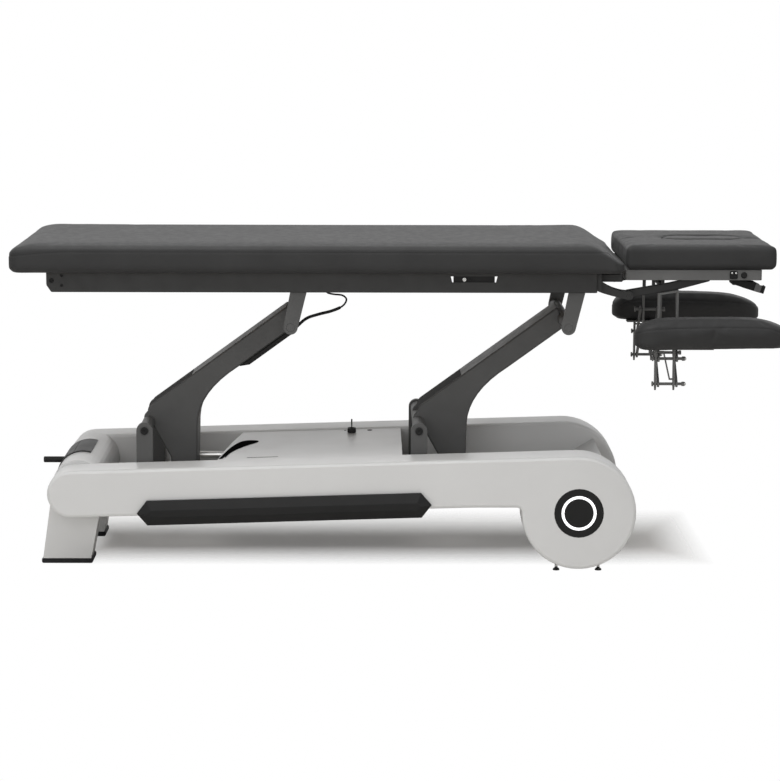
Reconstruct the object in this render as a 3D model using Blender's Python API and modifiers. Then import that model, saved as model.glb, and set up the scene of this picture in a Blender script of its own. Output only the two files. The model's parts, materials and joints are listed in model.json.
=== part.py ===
"""Electric treatment table: parallelogram lift, headrest with armrests, foot bars.

Metres, +Z up, +X towards the headrest, origin on the floor under the middle.
"""
import math

import bmesh
import bpy
from mathutils import Matrix, Vector

# Driving dimensions of the base
BASE_WIDTH = 0.680
BEAM_WIDTH = 0.115
END_X = -0.877
END_Z = 0.212
END_RADIUS = 0.063
FENDER_X = 0.477
FENDER_Z = 0.163
FENDER_RADIUS = 0.153
UNDERSIDE_Z = 0.177
UNDERSIDE_BEND_X = 0.200
UNDERSIDE_FILLET = 0.014
BEAM_EDGE = 0.008
LAMP_RADIUS = 0.066
LAMP_DEPTH = 0.006
LAMP_RING_RADIUS = 0.043
LAMP_RING_WIDTH = 0.007
SHEET = 0.003

# End housing with its two legs, and the lever in it
HOOD_FOOT_LEFT = -0.9665
HOOD_FOOT_RIGHT = -0.8365
HOOD_SHOULDER_LEFT = -0.9390
HOOD_SHOULDER_RIGHT = -0.7990
HOOD_SHOULDER_Z = 0.205
HOOD_TOP_Z = 0.284
LEG_INNER = 0.125
LEG_ARCH_Z = 0.120
FOOT_PAD = 0.014
PANEL_HALF_WIDTH = 0.095
PANEL_THICKNESS = 0.003
LEVER_Y = -0.060
LEVER_Z = 0.232
LEVER_RADIUS = 0.0085
LEVER_REACH = 0.0815
LEVER_RAISE = 0.0245
LEVER_SHAFT_RADIUS = 0.007
LEVER_SLOT_WIDTH = 0.026

# Levelling feet under the fenders
LEVELLER_SPREAD = 0.113
LEVELLER_RADIUS = 0.009
LEVELLER_STEM = 0.004

# Foot bars
BAR_LENGTH = 0.784
BAR_HEIGHT = 0.066
BAR_DEPTH = 0.022
BAR_POINT = 0.027
BAR_X = -0.3085
BAR_Z = 0.1745

# Chassis, posts and lift
CHASSIS_THICKNESS = 0.008
CHASSIS_Z = 0.182
POST_WIDTH = 0.044
POST_THICKNESS = 0.018
POST_CENTRE_Y = 0.206
PIVOT_X = -0.689
PIVOT_Z = 0.363
PIVOT_SPACING = 0.741
ARM_LENGTH = 0.490
ARM_ANGLE = 36.0
ARM_WIDTH = 0.130
ARM_ABOVE = 0.036
ARM_BELOW = 0.021
ARM_WALL = 0.005
GUSSET_RIGHT = 0.131
GUSSET_DROP = 0.150
GUSSET_WIDTH = 0.070
SHAFT_RADIUS = 0.017
SHAFT_END_RADIUS = 0.011
DUCT_DEPTH = 0.013
DUCT_WIDTH = 0.030
DUCT_END = 0.026
DRIVE_PIN_X = 0.090
DRIVE_PIN_DROP = 0.118
DRIVE_PIN_RADIUS = 0.008
DRIVE_SLOT_PLAY = 0.010

# Covers
COVER_END_MARGIN = 0.045
COVER_FOOT_NEAR_X = -0.494
COVER_FOOT_FAR_X = -0.443
COVER_SKIRT = 0.050
COVER_DROP = 0.004
TRAY_START = 0.205
TRAY_FLOOR_Z = 0.206
TRAY_RISE_X = 0.400
TRAY_END_X = 0.560
TRAY_END_Z = 0.268
SWITCH_X = -0.1325
SWITCH_Y = 0.165
SWITCH_SIZE = 0.024
SWITCH_HEIGHT = 0.014
SWITCH_ROD = 0.030

# Table frame and main cushion
RAIL_OUTER_Y = 0.275
RAIL_WIDTH = 0.030
RAIL_HEIGHT = 0.054
RAIL_WALL = 0.003
RAIL_FOOT_X = -0.9395
RAIL_HEAD_X = 0.5225
TABLE_Z = 0.746
HANGER_LEAN = 0.021
HANGER_WIDTH = 0.044
HANGER_THICKNESS = 0.012
HANGER_RADIUS = 0.019
CUSHION_FOOT_X = -1.0355
CUSHION_HEAD_X = 0.5925
CUSHION_WIDTH = 0.650
CUSHION_HEIGHT = 0.078
CUSHION_SLOPE = 0.130
CUSHION_SLOPE_DROP = 0.026
CUSHION_EDGE = 0.020
BOARD_THICKNESS = 0.012
BOARD_MARGIN = 0.030
RECESS_X = 0.195
RECESS_LENGTH = 0.124
RECESS_HEIGHT = 0.016

# Headrest
HEAD_GAP = 0.009
HEAD_LENGTH = 0.402
HEAD_WIDTH = 0.470
HEAD_HEIGHT = 0.067
HEAD_EDGE = 0.014
HEAD_RAIL_HEIGHT = 0.028
HEAD_RAIL_WIDTH = 0.025
HEAD_RAIL_Y = 0.222
HEAD_FRAME_LENGTH = 0.366
HEAD_FRAME_Z = 0.775
HEAD_PIVOT_X = 0.6105
HEAD_PIVOT_Z = 0.735
HEAD_PIVOT_RADIUS = 0.011
HEAD_ARM_Y = 0.190
HEAD_ARM_THICKNESS = 0.014
HEAD_ARM_REACH = 0.221
HEAD_ARM_TAPER = 0.140
FACE_SLOT_X = 0.832
FACE_SLOT_LENGTH = 0.224
FACE_SLOT_WIDTH = 0.112
RELEASE_X = 0.897
RELEASE_LENGTH = 0.084
RELEASE_WIDTH = 0.034
RELEASE_DROP = 16.0

# Armrests
PAD_START_X = 0.6180
PAD_LENGTH = 0.4180
PAD_WIDTH = 0.112
PAD_HEIGHT = 0.080
PAD_BOTTOM_Z = 0.604
PAD_CENTRE_Y = 0.302
PAD_TOE_IN = 7.0
LINK_INNER_Y = 0.200
LINK_INNER_Z = 0.645
LINK_SPACING = 0.068
LINK_REACH = 0.082
LINK_DROP = 0.073
LINK_PLATE = 0.005
LINK_LAYER = 0.008
LINK_LOBE = 0.010
LINK_PIN_RADIUS = 0.004
LINK_PAIR_SPACING = 0.049
LINK_X = 0.6875

CLEARANCE = 0.0003
ROUND = 32
RUNNING = 0.0005

# Values worked out from the driving dimensions
BEAM_INNER_Y = BASE_WIDTH / 2 - BEAM_WIDTH
INSIDE = BEAM_INNER_Y - CLEARANCE
HEAD_ARM_PIVOT_X = PIVOT_X + PIVOT_SPACING
LEVER_SHAFT_X = END_X - 0.022
ARM_REST = math.radians(ARM_ANGLE)
UPPER_DX = ARM_LENGTH * math.cos(ARM_REST)
UPPER_Z = PIVOT_Z + ARM_LENGTH * math.sin(ARM_REST)
CUSHION_Z = TABLE_Z + RAIL_HEIGHT + CLEARANCE
SHAFT_HALF = POST_CENTRE_Y - POST_THICKNESS / 2 - RUNNING
HANGER_Y = RAIL_OUTER_Y - RAIL_WIDTH / 2
UPPER_SHAFT_HALF = HANGER_Y - HANGER_THICKNESS / 2 - RUNNING
HEAD_X = CUSHION_HEAD_X + HEAD_GAP
DRIVE_Y = ARM_WIDTH / 2 + 0.020
HEAD_TOP_OF_FRAME = HEAD_FRAME_Z + HEAD_RAIL_HEIGHT
HEAD_CUSHION_Z = HEAD_TOP_OF_FRAME + CLEARANCE
SIDES = (("near", -1), ("far", 1))


def clear_scene():
    for obj in list(bpy.data.objects):
        bpy.data.objects.remove(obj, do_unlink=True)


def collection(name):
    made = bpy.data.collections.new(name)
    bpy.context.scene.collection.children.link(made)
    return made


def material(name, colour, roughness, metallic=0.0):
    mat = bpy.data.materials.new(name)
    mat.use_nodes = True
    shader = mat.node_tree.nodes["Principled BSDF"]
    shader.inputs["Base Color"].default_value = (*colour, 1)
    shader.inputs["Roughness"].default_value = roughness
    shader.inputs["Metallic"].default_value = metallic
    return mat


clear_scene()
PARTS = collection("treatment_table")
CUTTERS = collection("cutters")
SHELL = material("pale_moulding", (0.60, 0.60, 0.59), 0.45)
STEEL = material("charcoal_steel", (0.075, 0.075, 0.073), 0.5, 0.2)
GREY_STEEL = material("grey_steel", (0.13, 0.13, 0.125), 0.45, 0.3)
BLACK = material("black_plastic", (0.022, 0.022, 0.022), 0.5)
RUBBER = material("black_rubber", (0.01, 0.01, 0.01), 0.8)
LAMP = material("lamp", (0.95, 0.95, 0.95), 0.3)
BRIGHT = material("bright_steel", (0.6, 0.6, 0.6), 0.25, 1.0)
HIDE = material("upholstery", (0.05, 0.05, 0.05), 0.55)
WOOD = material("plywood", (0.45, 0.32, 0.18), 0.7)


def new_object(name, mesh, place=(0, 0, 0), into=None):
    obj = bpy.data.objects.new(name, mesh)
    obj.location = place
    (into or PARTS).objects.link(obj)
    return obj


def finish(obj, mat, smooth=None):
    obj.data.materials.clear()
    obj.data.materials.append(mat)
    if smooth:
        obj.data.shade_smooth()
        obj.data.set_sharp_from_angle(angle=math.radians(smooth))
    return obj


def bevel(obj, width, segments=2, angle=30):
    mod = obj.modifiers.new("edges", "BEVEL")
    mod.width = width
    mod.segments = segments
    mod.limit_method = "ANGLE"
    mod.angle_limit = math.radians(angle)
    return obj


def evaluated_mesh(obj):
    """The object's mesh with its modifiers, in world space."""
    bpy.context.view_layer.update()
    graph = bpy.context.evaluated_depsgraph_get()
    mesh = bpy.data.meshes.new_from_object(obj.evaluated_get(graph))
    mesh.transform(obj.matrix_world)
    return mesh


def box(name, low, high, edge=0.0, segments=1, into=None):
    low = Vector(low)
    high = Vector(high)
    bm = bmesh.new()
    bmesh.ops.create_cube(bm, size=1)
    bmesh.ops.scale(bm, vec=high - low, verts=bm.verts)
    mesh = bpy.data.meshes.new(name)
    bm.to_mesh(mesh)
    bm.free()
    obj = new_object(name, mesh, (low + high) / 2, into)
    if edge:
        bevel(obj, edge, segments)
    return obj


TURN = {
    "X": Matrix.Rotation(math.pi / 2, 4, "Y"),
    "Y": Matrix.Rotation(-math.pi / 2, 4, "X"),
    "Z": Matrix.Identity(4),
}


def cylinder(name, radius, start, end, axis="Y", sides=24, into=None, tip=None):
    """A round bar from start along the axis to the coordinate end."""
    index = "XYZ".index(axis)
    length = end - start[index]
    bm = bmesh.new()
    bmesh.ops.create_cone(
        bm, cap_ends=True, segments=sides, radius1=radius,
        radius2=radius if tip is None else tip, depth=abs(length))
    bmesh.ops.transform(bm, matrix=TURN[axis], verts=bm.verts)
    mesh = bpy.data.meshes.new(name)
    bm.to_mesh(mesh)
    bm.free()
    place = Vector(start)
    place[index] += length / 2
    return new_object(name, mesh, place, into)


def welded(curve_obj, name, into=None, flat=False):
    """The curve object as a closed mesh object, its flat faces whole; the curve goes."""
    mesh = evaluated_mesh(curve_obj)
    bpy.data.objects.remove(curve_obj, do_unlink=True)
    bm = bmesh.new()
    bm.from_mesh(mesh)
    bmesh.ops.remove_doubles(bm, verts=bm.verts, dist=0.00002)
    if flat:
        bmesh.ops.dissolve_limit(bm, angle_limit=0.002, verts=bm.verts, edges=bm.edges)
    bm.to_mesh(mesh)
    bm.free()
    mesh.name = name
    return new_object(name, mesh, (0, 0, 0), into)


# How an outline's (u, v) and its thickness lie in space
PLANES = {
    "XZ": Matrix(((1, 0, 0), (0, 0, -1), (0, 1, 0))).to_4x4(),
    "YZ": Matrix(((0, 0, 1), (1, 0, 0), (0, 1, 0))).to_4x4(),
    "XY": Matrix.Identity(4),
}


def plate(name, outlines, low, high, plane="XZ", into=None):
    """Flat outlines, the first one outside and the others holes, from low to high."""
    curve = bpy.data.curves.new(name, "CURVE")
    curve.dimensions = "2D"
    curve.fill_mode = "BOTH"
    curve.extrude = (high - low) / 2
    for outline in outlines:
        spline = curve.splines.new("POLY")
        spline.points.add(len(outline) - 1)
        for point, (u, v) in zip(spline.points, outline):
            point.co = (u, v, 0, 1)
        spline.use_cyclic_u = True
    obj = new_object(name + "_outline", curve, (0, 0, 0), into)
    middle = (low + high) / 2
    shift = {"XZ": (0, middle, 0), "YZ": (middle, 0, 0), "XY": (0, 0, middle)}[plane]
    obj.matrix_world = Matrix.Translation(shift) @ PLANES[plane]
    return welded(obj, name, into, len(outlines) == 1)


def tube(name, points, radius, resolution=2, into=None):
    curve = bpy.data.curves.new(name, "CURVE")
    curve.dimensions = "3D"
    curve.bevel_depth = radius
    curve.bevel_resolution = resolution
    curve.use_fill_caps = True
    spline = curve.splines.new("POLY")
    spline.points.add(len(points) - 1)
    for point, place in zip(spline.points, points):
        point.co = (*place, 1)
    obj = new_object(name + "_line", curve, (0, 0, 0), into)
    return welded(obj, name, into)


def turned(name, profile, place, axis="Z", steps=32, into=None):
    """A profile of (radius, height) pairs, top to bottom, turned about the axis."""
    mesh = bpy.data.meshes.new(name)
    bm = bmesh.new()
    verts = [bm.verts.new((r, 0, z)) for r, z in profile]
    for a, b in zip(verts, verts[1:]):
        bm.edges.new((a, b))
    bm.to_mesh(mesh)
    bm.free()
    obj = new_object(name, mesh, (0, 0, 0), into)
    mod = obj.modifiers.new("turn", "SCREW")
    mod.steps = steps
    mod.render_steps = steps
    mod.use_merge_vertices = True
    mod.merge_threshold = 0.00002
    obj.matrix_world = Matrix.Translation(place) @ TURN[axis]
    return obj


def arc(centre, radius, start, end, steps):
    """Points on an arc, angles in degrees, both ends included."""
    points = []
    for i in range(steps + 1):
        angle = math.radians(start + (end - start) * i / steps)
        points.append((centre[0] + radius * math.cos(angle),
                       centre[1] + radius * math.sin(angle)))
    return points


def racetrack(centre, length, width, steps=8):
    """A slot outline with round ends, long along u."""
    reach = (length - width) / 2
    return (arc((centre[0] + reach, centre[1]), width / 2, -90, 90, steps)
            + arc((centre[0] - reach, centre[1]), width / 2, 90, 270, steps))


def capsule(a, b, radius, steps=8):
    """The outline round two equal circles at a and b."""
    angle = math.degrees(math.atan2(b[1] - a[1], b[0] - a[0]))
    return (arc(b, radius, angle - 90, angle + 90, steps)
            + arc(a, radius, angle + 90, angle + 270, steps))


def rounded_rectangle(low, high, radius, steps=5):
    return (arc((high[0] - radius, high[1] - radius), radius, 0, 90, steps)
            + arc((low[0] + radius, high[1] - radius), radius, 90, 180, steps)
            + arc((low[0] + radius, low[1] + radius), radius, 180, 270, steps)
            + arc((high[0] - radius, low[1] + radius), radius, 270, 360, steps))


def mirrored(outline):
    return [(-u, v) for u, v in reversed(outline)]


def combine(target, others, operation):
    """Join the others to the target, or cut them from it, and keep the result."""
    for other in others:
        mod = target.modifiers.new("shape", "BOOLEAN")
        mod.object = other
        mod.operation = operation
        mod.solver = "EXACT"
    mesh = evaluated_mesh(target)
    target.modifiers.clear()
    target.matrix_world = Matrix.Identity(4)
    target.data = mesh
    for other in others:
        if operation == "UNION":
            bpy.data.objects.remove(other, do_unlink=True)
        else:
            other.hide_render = True
            other.display_type = "WIRE"
            for holder in list(other.users_collection):
                holder.objects.unlink(other)
            CUTTERS.objects.link(other)
    return target


def cut(target, *cutters):
    return combine(target, cutters, "DIFFERENCE")


def union(target, *others):
    return combine(target, others, "UNION")


def pivot(name, place):
    """An empty on a joint's axis, which carries what turns about it."""
    empty = bpy.data.objects.new(name, None)
    empty.location = place
    PARTS.objects.link(empty)
    return empty


def carry(empty, *objects):
    bpy.context.view_layer.update()
    for obj in objects:
        world = obj.matrix_world.copy()
        obj.parent = empty
        obj.matrix_parent_inverse = empty.matrix_world.inverted()
        obj.matrix_world = world


def line_z(a, b, x):
    return a[1] + (b[1] - a[1]) * (x - a[0]) / (b[0] - a[0])


def beam_outline():
    """The side beam: a small end circle, a large fender, tangents between them."""
    end = Vector((END_X, END_Z))
    fender = Vector((FENDER_X, FENDER_Z))
    across = fender - end
    heading = math.degrees(math.atan2(across.y, across.x))
    lean = math.degrees(math.acos((END_RADIUS - FENDER_RADIUS) / across.length))
    top = heading + lean
    bend = Vector((UNDERSIDE_BEND_X, UNDERSIDE_Z))
    down = bend - end
    low = math.degrees(math.atan2(down.y, down.x) - math.acos(END_RADIUS / down.length))
    fillet_z = UNDERSIDE_Z - UNDERSIDE_FILLET
    reach = FENDER_RADIUS + UNDERSIDE_FILLET
    fillet_x = FENDER_X - math.sqrt(reach ** 2 - (fillet_z - FENDER_Z) ** 2)
    touch = math.degrees(math.atan2(fillet_z - FENDER_Z, fillet_x - FENDER_X)) % 360
    outline = arc(end, END_RADIUS, top, low + 360, 16)
    outline.append(tuple(bend))
    outline += arc((fillet_x, fillet_z), UNDERSIDE_FILLET, 90, touch - 180, 5)
    outline += arc(fender, FENDER_RADIUS, touch, top + 360, 36)[1:]
    upper = (end.x + END_RADIUS * math.cos(math.radians(top)),
             end.y + END_RADIUS * math.sin(math.radians(top)))
    return outline, upper, outline[-1]


BEAM, BEAM_TOP_A, BEAM_TOP_B = beam_outline()
BEAM_SLOPE = math.atan2(BEAM_TOP_B[1] - BEAM_TOP_A[1], BEAM_TOP_B[0] - BEAM_TOP_A[0])


def beam_top(x):
    return line_z(BEAM_TOP_A, BEAM_TOP_B, x)


def leveller_places():
    for _, side in SIDES:
        for shift in (-1, 1):
            yield (FENDER_X + shift * LEVELLER_SPREAD / 2,
                   side * (BASE_WIDTH / 2 - BEAM_WIDTH * 0.36))


def levelling_foot(x, y):
    """A threaded foot under a fender: a small disc on a stem."""
    root = FENDER_Z - FENDER_RADIUS * 0.75
    return turned("leveller", [(0, root), (LEVELLER_STEM, root), (LEVELLER_STEM, 0.007),
                               (LEVELLER_RADIUS * 0.7, 0.006), (LEVELLER_RADIUS, 0.003),
                               (LEVELLER_RADIUS, 0), (0, 0)], (x, y, 0), steps=12)


def side_beams():
    outer = BASE_WIDTH / 2
    for side_name, side in SIDES:
        low, high = sorted((side * BEAM_INNER_Y, side * outer))
        beam = plate("side_beam_" + side_name, [BEAM], low, high)
        bevel(beam, BEAM_EDGE, 2, 50)
        lamp = cylinder("lamp_recess_" + side_name, LAMP_RADIUS + CLEARANCE,
                        (FENDER_X, side * (outer - LAMP_DEPTH), FENDER_Z),
                        side * (outer + LAMP_DEPTH), sides=ROUND)
        cut(beam, lamp)
        feet = [levelling_foot(x, y) for x, y in leveller_places() if y * side > 0]
        union(beam, *feet)
        finish(beam, SHELL, 40)


def fender_lamps():
    """A dark disc sunk in each fender, with a light ring in its groove."""
    outer = BASE_WIDTH / 2
    groove = LAMP_RING_WIDTH / 2
    for side_name, side in SIDES:
        face = outer - LAMP_DEPTH + CLEARANCE
        disc = cylinder("lamp_disc_" + side_name, LAMP_RADIUS, (FENDER_X, side * face, FENDER_Z),
                        side * outer, sides=ROUND)
        slot = cylinder("ring_groove_" + side_name, LAMP_RING_RADIUS + groove + CLEARANCE,
                        (FENDER_X, side * (outer - 0.003), FENDER_Z), side * (outer + 0.01),
                        sides=ROUND)
        core = cylinder("ring_core_" + side_name, LAMP_RING_RADIUS - groove - CLEARANCE,
                        (FENDER_X, side * (outer - 0.006), FENDER_Z), side * (outer + 0.02),
                        sides=ROUND)
        cut(slot, core)
        cut(disc, slot)
        finish(disc, BLACK, 40)
        ring = cylinder("lamp_ring_" + side_name, LAMP_RING_RADIUS + groove,
                        (FENDER_X, side * (outer - 0.003 + CLEARANCE), FENDER_Z), side * outer,
                        sides=ROUND)
        bore = cylinder("ring_bore_" + side_name, LAMP_RING_RADIUS - groove,
                        (FENDER_X, side * (outer - 0.01), FENDER_Z), side * (outer + 0.01),
                        sides=ROUND)
        cut(ring, bore)
        finish(ring, LAMP, 40)


def hood_outline():
    """Side view of the end housing: a leg that leans out, under a rounded hood."""
    top_radius = (HOOD_SHOULDER_RIGHT - HOOD_SHOULDER_LEFT) / 2
    middle = (HOOD_SHOULDER_LEFT + HOOD_SHOULDER_RIGHT) / 2
    rise = HOOD_TOP_Z - HOOD_SHOULDER_Z
    hood = [(middle + top_radius * math.cos(math.radians(a)),
             HOOD_SHOULDER_Z + rise * math.sin(math.radians(a)) ** 0.85)
            for a in range(0, 181, 9)]
    return [(HOOD_FOOT_LEFT, FOOT_PAD)] + [(HOOD_FOOT_RIGHT, FOOT_PAD)] + hood


def hood_height(x):
    top_radius = (HOOD_SHOULDER_RIGHT - HOOD_SHOULDER_LEFT) / 2
    middle = (HOOD_SHOULDER_LEFT + HOOD_SHOULDER_RIGHT) / 2
    share = max(-1.0, min(1.0, (x - middle) / top_radius))
    rise = HOOD_TOP_Z - HOOD_SHOULDER_Z
    return HOOD_SHOULDER_Z + rise * math.sqrt(1 - share ** 2) ** 0.85


def end_housing():
    housing = plate("end_housing", [hood_outline()], -INSIDE, INSIDE)
    slot_low = LEVER_Z - 0.040
    slot = box("lever_slot", (HOOD_FOOT_LEFT - 0.05, LEVER_Y - LEVER_SLOT_WIDTH / 2, slot_low),
               (END_X, LEVER_Y + LEVER_SLOT_WIDTH / 2, LEVER_Z + 0.040))
    arch = box("leg_arch", (HOOD_FOOT_LEFT - 0.05, -LEG_INNER, -0.01),
               (HOOD_FOOT_RIGHT + 0.09, LEG_INNER, LEG_ARCH_Z), 0.02, 3)
    bore = cylinder("lever_bore", LEVER_SHAFT_RADIUS + CLEARANCE,
                    (LEVER_SHAFT_X, LEVER_Y - LEVER_SLOT_WIDTH, LEVER_Z),
                    LEVER_Y + LEVER_SLOT_WIDTH, sides=16)
    cut(housing, slot, arch, bore)
    finish(housing, SHELL, 40)


def foot_pads():
    lip = 0.004
    for side_name, side in SIDES:
        low, high = sorted((side * LEG_INNER, side * INSIDE))
        pad = box("foot_pad_" + side_name, (HOOD_FOOT_LEFT - lip, low, 0),
                  (HOOD_FOOT_RIGHT + lip, high, FOOT_PAD - CLEARANCE), 0.003, 1)
        finish(pad, RUBBER)


def hood_panels():
    """Two dark skins that follow the hood, with a joint line between them."""
    panels = []
    right = HOOD_SHOULDER_RIGHT - 0.048
    middle = HOOD_SHOULDER_LEFT + 0.045
    left = HOOD_SHOULDER_LEFT + 0.0035
    for start, end in ((left, middle - 0.0006), (middle + 0.0006, right)):
        steps = 8
        xs = [start + (end - start) * i / steps for i in range(steps + 1)]
        under = [(x, hood_height(x) + 0.0007) for x in xs]
        over = []
        for x in reversed(xs):
            slope = math.atan2(hood_height(x + 0.0005) - hood_height(x - 0.0005), 0.001)
            over.append((x - PANEL_THICKNESS * math.sin(slope),
                         hood_height(x) + PANEL_THICKNESS * math.cos(slope) + 0.0007))
        name = "hood_panel_upper" if panels else "hood_panel_lower"
        panels.append(plate(name, [under + over], -PANEL_HALF_WIDTH, PANEL_HALF_WIDTH))
    notch = box("panel_notch", (HOOD_FOOT_LEFT - 0.05, LEVER_Y - LEVER_SLOT_WIDTH / 2, 0),
                (LEVER_SHAFT_X - 0.004, LEVER_Y + LEVER_SLOT_WIDTH / 2, LEVER_Z + 0.040))
    cut(panels[0], notch)
    for panel in panels:
        finish(panel, GREY_STEEL, 30)


def floor_lever():
    place = (LEVER_SHAFT_X, LEVER_Y, LEVER_Z)
    shaft = cylinder("shaft", LEVER_SHAFT_RADIUS,
                     (LEVER_SHAFT_X, LEVER_Y - LEVER_SLOT_WIDTH + 0.001, LEVER_Z),
                     LEVER_Y + LEVER_SLOT_WIDTH - 0.001, sides=16)
    rod = cylinder("rod", LEVER_RADIUS, (LEVER_SHAFT_X, LEVER_Y, LEVER_Z + LEVER_RAISE),
                   LEVER_SHAFT_X - LEVER_REACH, "X", 16)
    hub = cylinder("hub", LEVER_SHAFT_RADIUS + 0.012,
                   (LEVER_SHAFT_X, LEVER_Y - LEVER_SLOT_WIDTH / 2 + 0.002, LEVER_Z),
                   LEVER_Y + LEVER_SLOT_WIDTH / 2 - 0.002, sides=20)
    bevel(rod, 0.0015, 1)
    lever = union(hub, rod, shaft)
    lever.name = "floor_lever"
    finish(lever, BLACK, 40)
    carry(pivot("floor_lever_axis", place), lever)


def foot_bars():
    """Pressable bars along the beams: pointed ends and a faceted front."""
    for side_name, side in SIDES:
        half = BAR_LENGTH / 2
        tall = BAR_HEIGHT / 2
        outline = [(-half, 0), (-half + BAR_POINT, -tall), (half - BAR_POINT, -tall),
                   (half, 0), (half - BAR_POINT, tall), (-half + BAR_POINT, tall)]
        back = BASE_WIDTH / 2 + CLEARANCE
        low, high = sorted((0, side * BAR_DEPTH * 0.4))
        bar = plate("foot_bar_" + side_name, [outline], low, high)
        bm = bmesh.new()
        bm.from_mesh(bar.data)
        front = [f for f in bm.faces if f.normal.y * side > 0.9]
        if len(front) > 1:
            bmesh.ops.dissolve_faces(bm, faces=front)
        front = [f for f in bm.faces if f.normal.y * side > 0.9]
        bmesh.ops.inset_individual(bm, faces=front, thickness=tall * 0.80,
                                   depth=BAR_DEPTH * 0.6)
        bm.to_mesh(bar.data)
        bm.free()
        bar.data.transform(Matrix.Translation((BAR_X, side * back, BAR_Z))
                           @ Matrix.Rotation(-BEAM_SLOPE, 4, "Y"))
        finish(bar, BLACK)


def chassis():
    """The steel plate between the beams, with slots for the swinging gussets."""
    inner = ARM_WIDTH / 2 + 0.012
    slots = []
    for x in (PIVOT_X, HEAD_ARM_PIVOT_X):
        slots.append(rounded_rectangle((x - 0.050, -inner), (x + 0.190, inner), 0.012, 3))
    outer = rounded_rectangle((HOOD_SHOULDER_RIGHT + 0.012, -INSIDE),
                              (TRAY_END_X - 0.08, INSIDE), 0.010, 3)
    frame = plate("chassis", [outer] + slots, CHASSIS_Z - CHASSIS_THICKNESS, CHASSIS_Z, "XY")
    finish(frame, STEEL)


def post_outline(x):
    half = POST_WIDTH / 2
    hole = arc((x, PIVOT_Z), SHAFT_END_RADIUS + RUNNING, 0, 340, 17)
    body = [(x - half, CHASSIS_Z + CLEARANCE), (x + half, CHASSIS_Z + CLEARANCE)]
    return [body + arc((x, PIVOT_Z), half, 0, 180, 14), hole]


def pivot_stands():
    """For each arm, two posts with round tops on a plate bolted to the chassis."""
    for name, x in (("foot", PIVOT_X), ("head", HEAD_ARM_PIVOT_X)):
        half = POST_WIDTH / 2
        posts = []
        for _, side in SIDES:
            low, high = sorted((side * (POST_CENTRE_Y - POST_THICKNESS / 2),
                                side * (POST_CENTRE_Y + POST_THICKNESS / 2)))
            posts.append(plate("post", post_outline(x), low, high))
        reach = POST_CENTRE_Y + POST_THICKNESS / 2
        foot = box("stand_foot", (x - half - 0.024, -reach, CHASSIS_Z + CLEARANCE),
                   (x - half + 0.002, reach, CHASSIS_Z + 0.008))
        stand = union(foot, *posts)
        stand.name = "pivot_stand_" + name
        finish(stand, STEEL, 40)


def cover_points():
    """Plan of the centre cover: curved foot end, straight sides and head end."""
    half = INSIDE
    head = HEAD_ARM_PIVOT_X - COVER_END_MARGIN
    mid_x = COVER_FOOT_NEAR_X + (COVER_FOOT_FAR_X - COVER_FOOT_NEAR_X) * 0.30
    edge = []
    steps = 12
    for i in range(steps + 1):
        t = i / steps
        u = (1 - t) ** 2 * COVER_FOOT_FAR_X + 2 * t * (1 - t) * mid_x + t ** 2 * COVER_FOOT_NEAR_X
        edge.append((u, half - 2 * half * t))
    return edge, head


def crescent():
    """The curved finger slot near the foot end of the cover."""
    a = Vector((COVER_FOOT_NEAR_X + 0.022, -0.185))
    b = Vector((COVER_FOOT_NEAR_X + 0.098, 0.040))
    chord = b - a
    side = Vector((-chord.y, chord.x)).normalized()
    points = []
    steps = 9
    for bulge, order in ((0.036, range(steps + 1)), (0.018, range(steps - 1, 0, -1))):
        for i in order:
            t = i / steps
            points.append(tuple(a + chord * t + side * bulge * 4 * t * (1 - t)))
    return points


def centre_cover():
    edge, head = cover_points()
    outline = edge + [(head, -INSIDE), (head, INSIDE)]
    top = plate("centre_cover", [outline, crescent()], -SHEET, 0, "XY")
    skirt = edge + [(x + SHEET, y) for x, y in reversed(edge)]
    wall = plate("skirt", [skirt], -COVER_SKIRT, -SHEET / 2, "XY")
    end_wall = box("end_wall", (head - SHEET, -INSIDE, -COVER_SKIRT), (head, INSIDE, -SHEET / 2))
    cover = union(top, wall, end_wall)
    gap = box("drive_gap", (COVER_FOOT_NEAR_X, DRIVE_Y - 0.013, -0.2),
              (COVER_FOOT_FAR_X + 0.030, DRIVE_Y + 0.013, -COVER_SKIRT + 0.030))
    cut(cover, gap)
    cover.name = "centre_cover"
    turn = Matrix.Rotation(-BEAM_SLOPE, 4, "Y")
    cover.data.transform(Matrix.Translation((0, 0, beam_top(0) - COVER_DROP)) @ turn)
    finish(cover, SHELL)


def head_tray():
    """The dished cover between the fenders, a thin sheet bent up at the head end."""
    upper = [(TRAY_START, TRAY_FLOOR_Z + 0.020)]
    upper += arc((TRAY_START + 0.020, TRAY_FLOOR_Z + 0.020), 0.020, 180, 270, 4)[1:]
    rise = TRAY_END_Z - TRAY_FLOOR_Z
    run = TRAY_END_X - TRAY_RISE_X
    steps = 10
    for i in range(steps + 1):
        t = i / steps
        upper.append((TRAY_RISE_X + run * t, TRAY_FLOOR_Z + rise * (1 - math.cos(t * math.pi / 2))))
    lower = []
    for i, (x, z) in enumerate(upper):
        before = upper[max(0, i - 1)]
        after = upper[min(len(upper) - 1, i + 1)]
        slope = math.atan2(after[1] - before[1], after[0] - before[0])
        lower.append((x + SHEET * math.sin(slope), z - SHEET * math.cos(slope)))
    tray = plate("head_tray", [upper + lower[::-1]], -INSIDE, INSIDE)
    ribs = []
    for _, side in SIDES:
        low, high = sorted((side * (INSIDE - 0.004), side * INSIDE))
        ribs.append(box("rib", (TRAY_START + 0.010, low, CHASSIS_Z + CLEARANCE),
                        (TRAY_END_X - 0.085, high, TRAY_FLOOR_Z - 0.001)))
    tray = union(tray, *ribs)
    tray.name = "head_tray"
    finish(tray, SHELL, 40)


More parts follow.
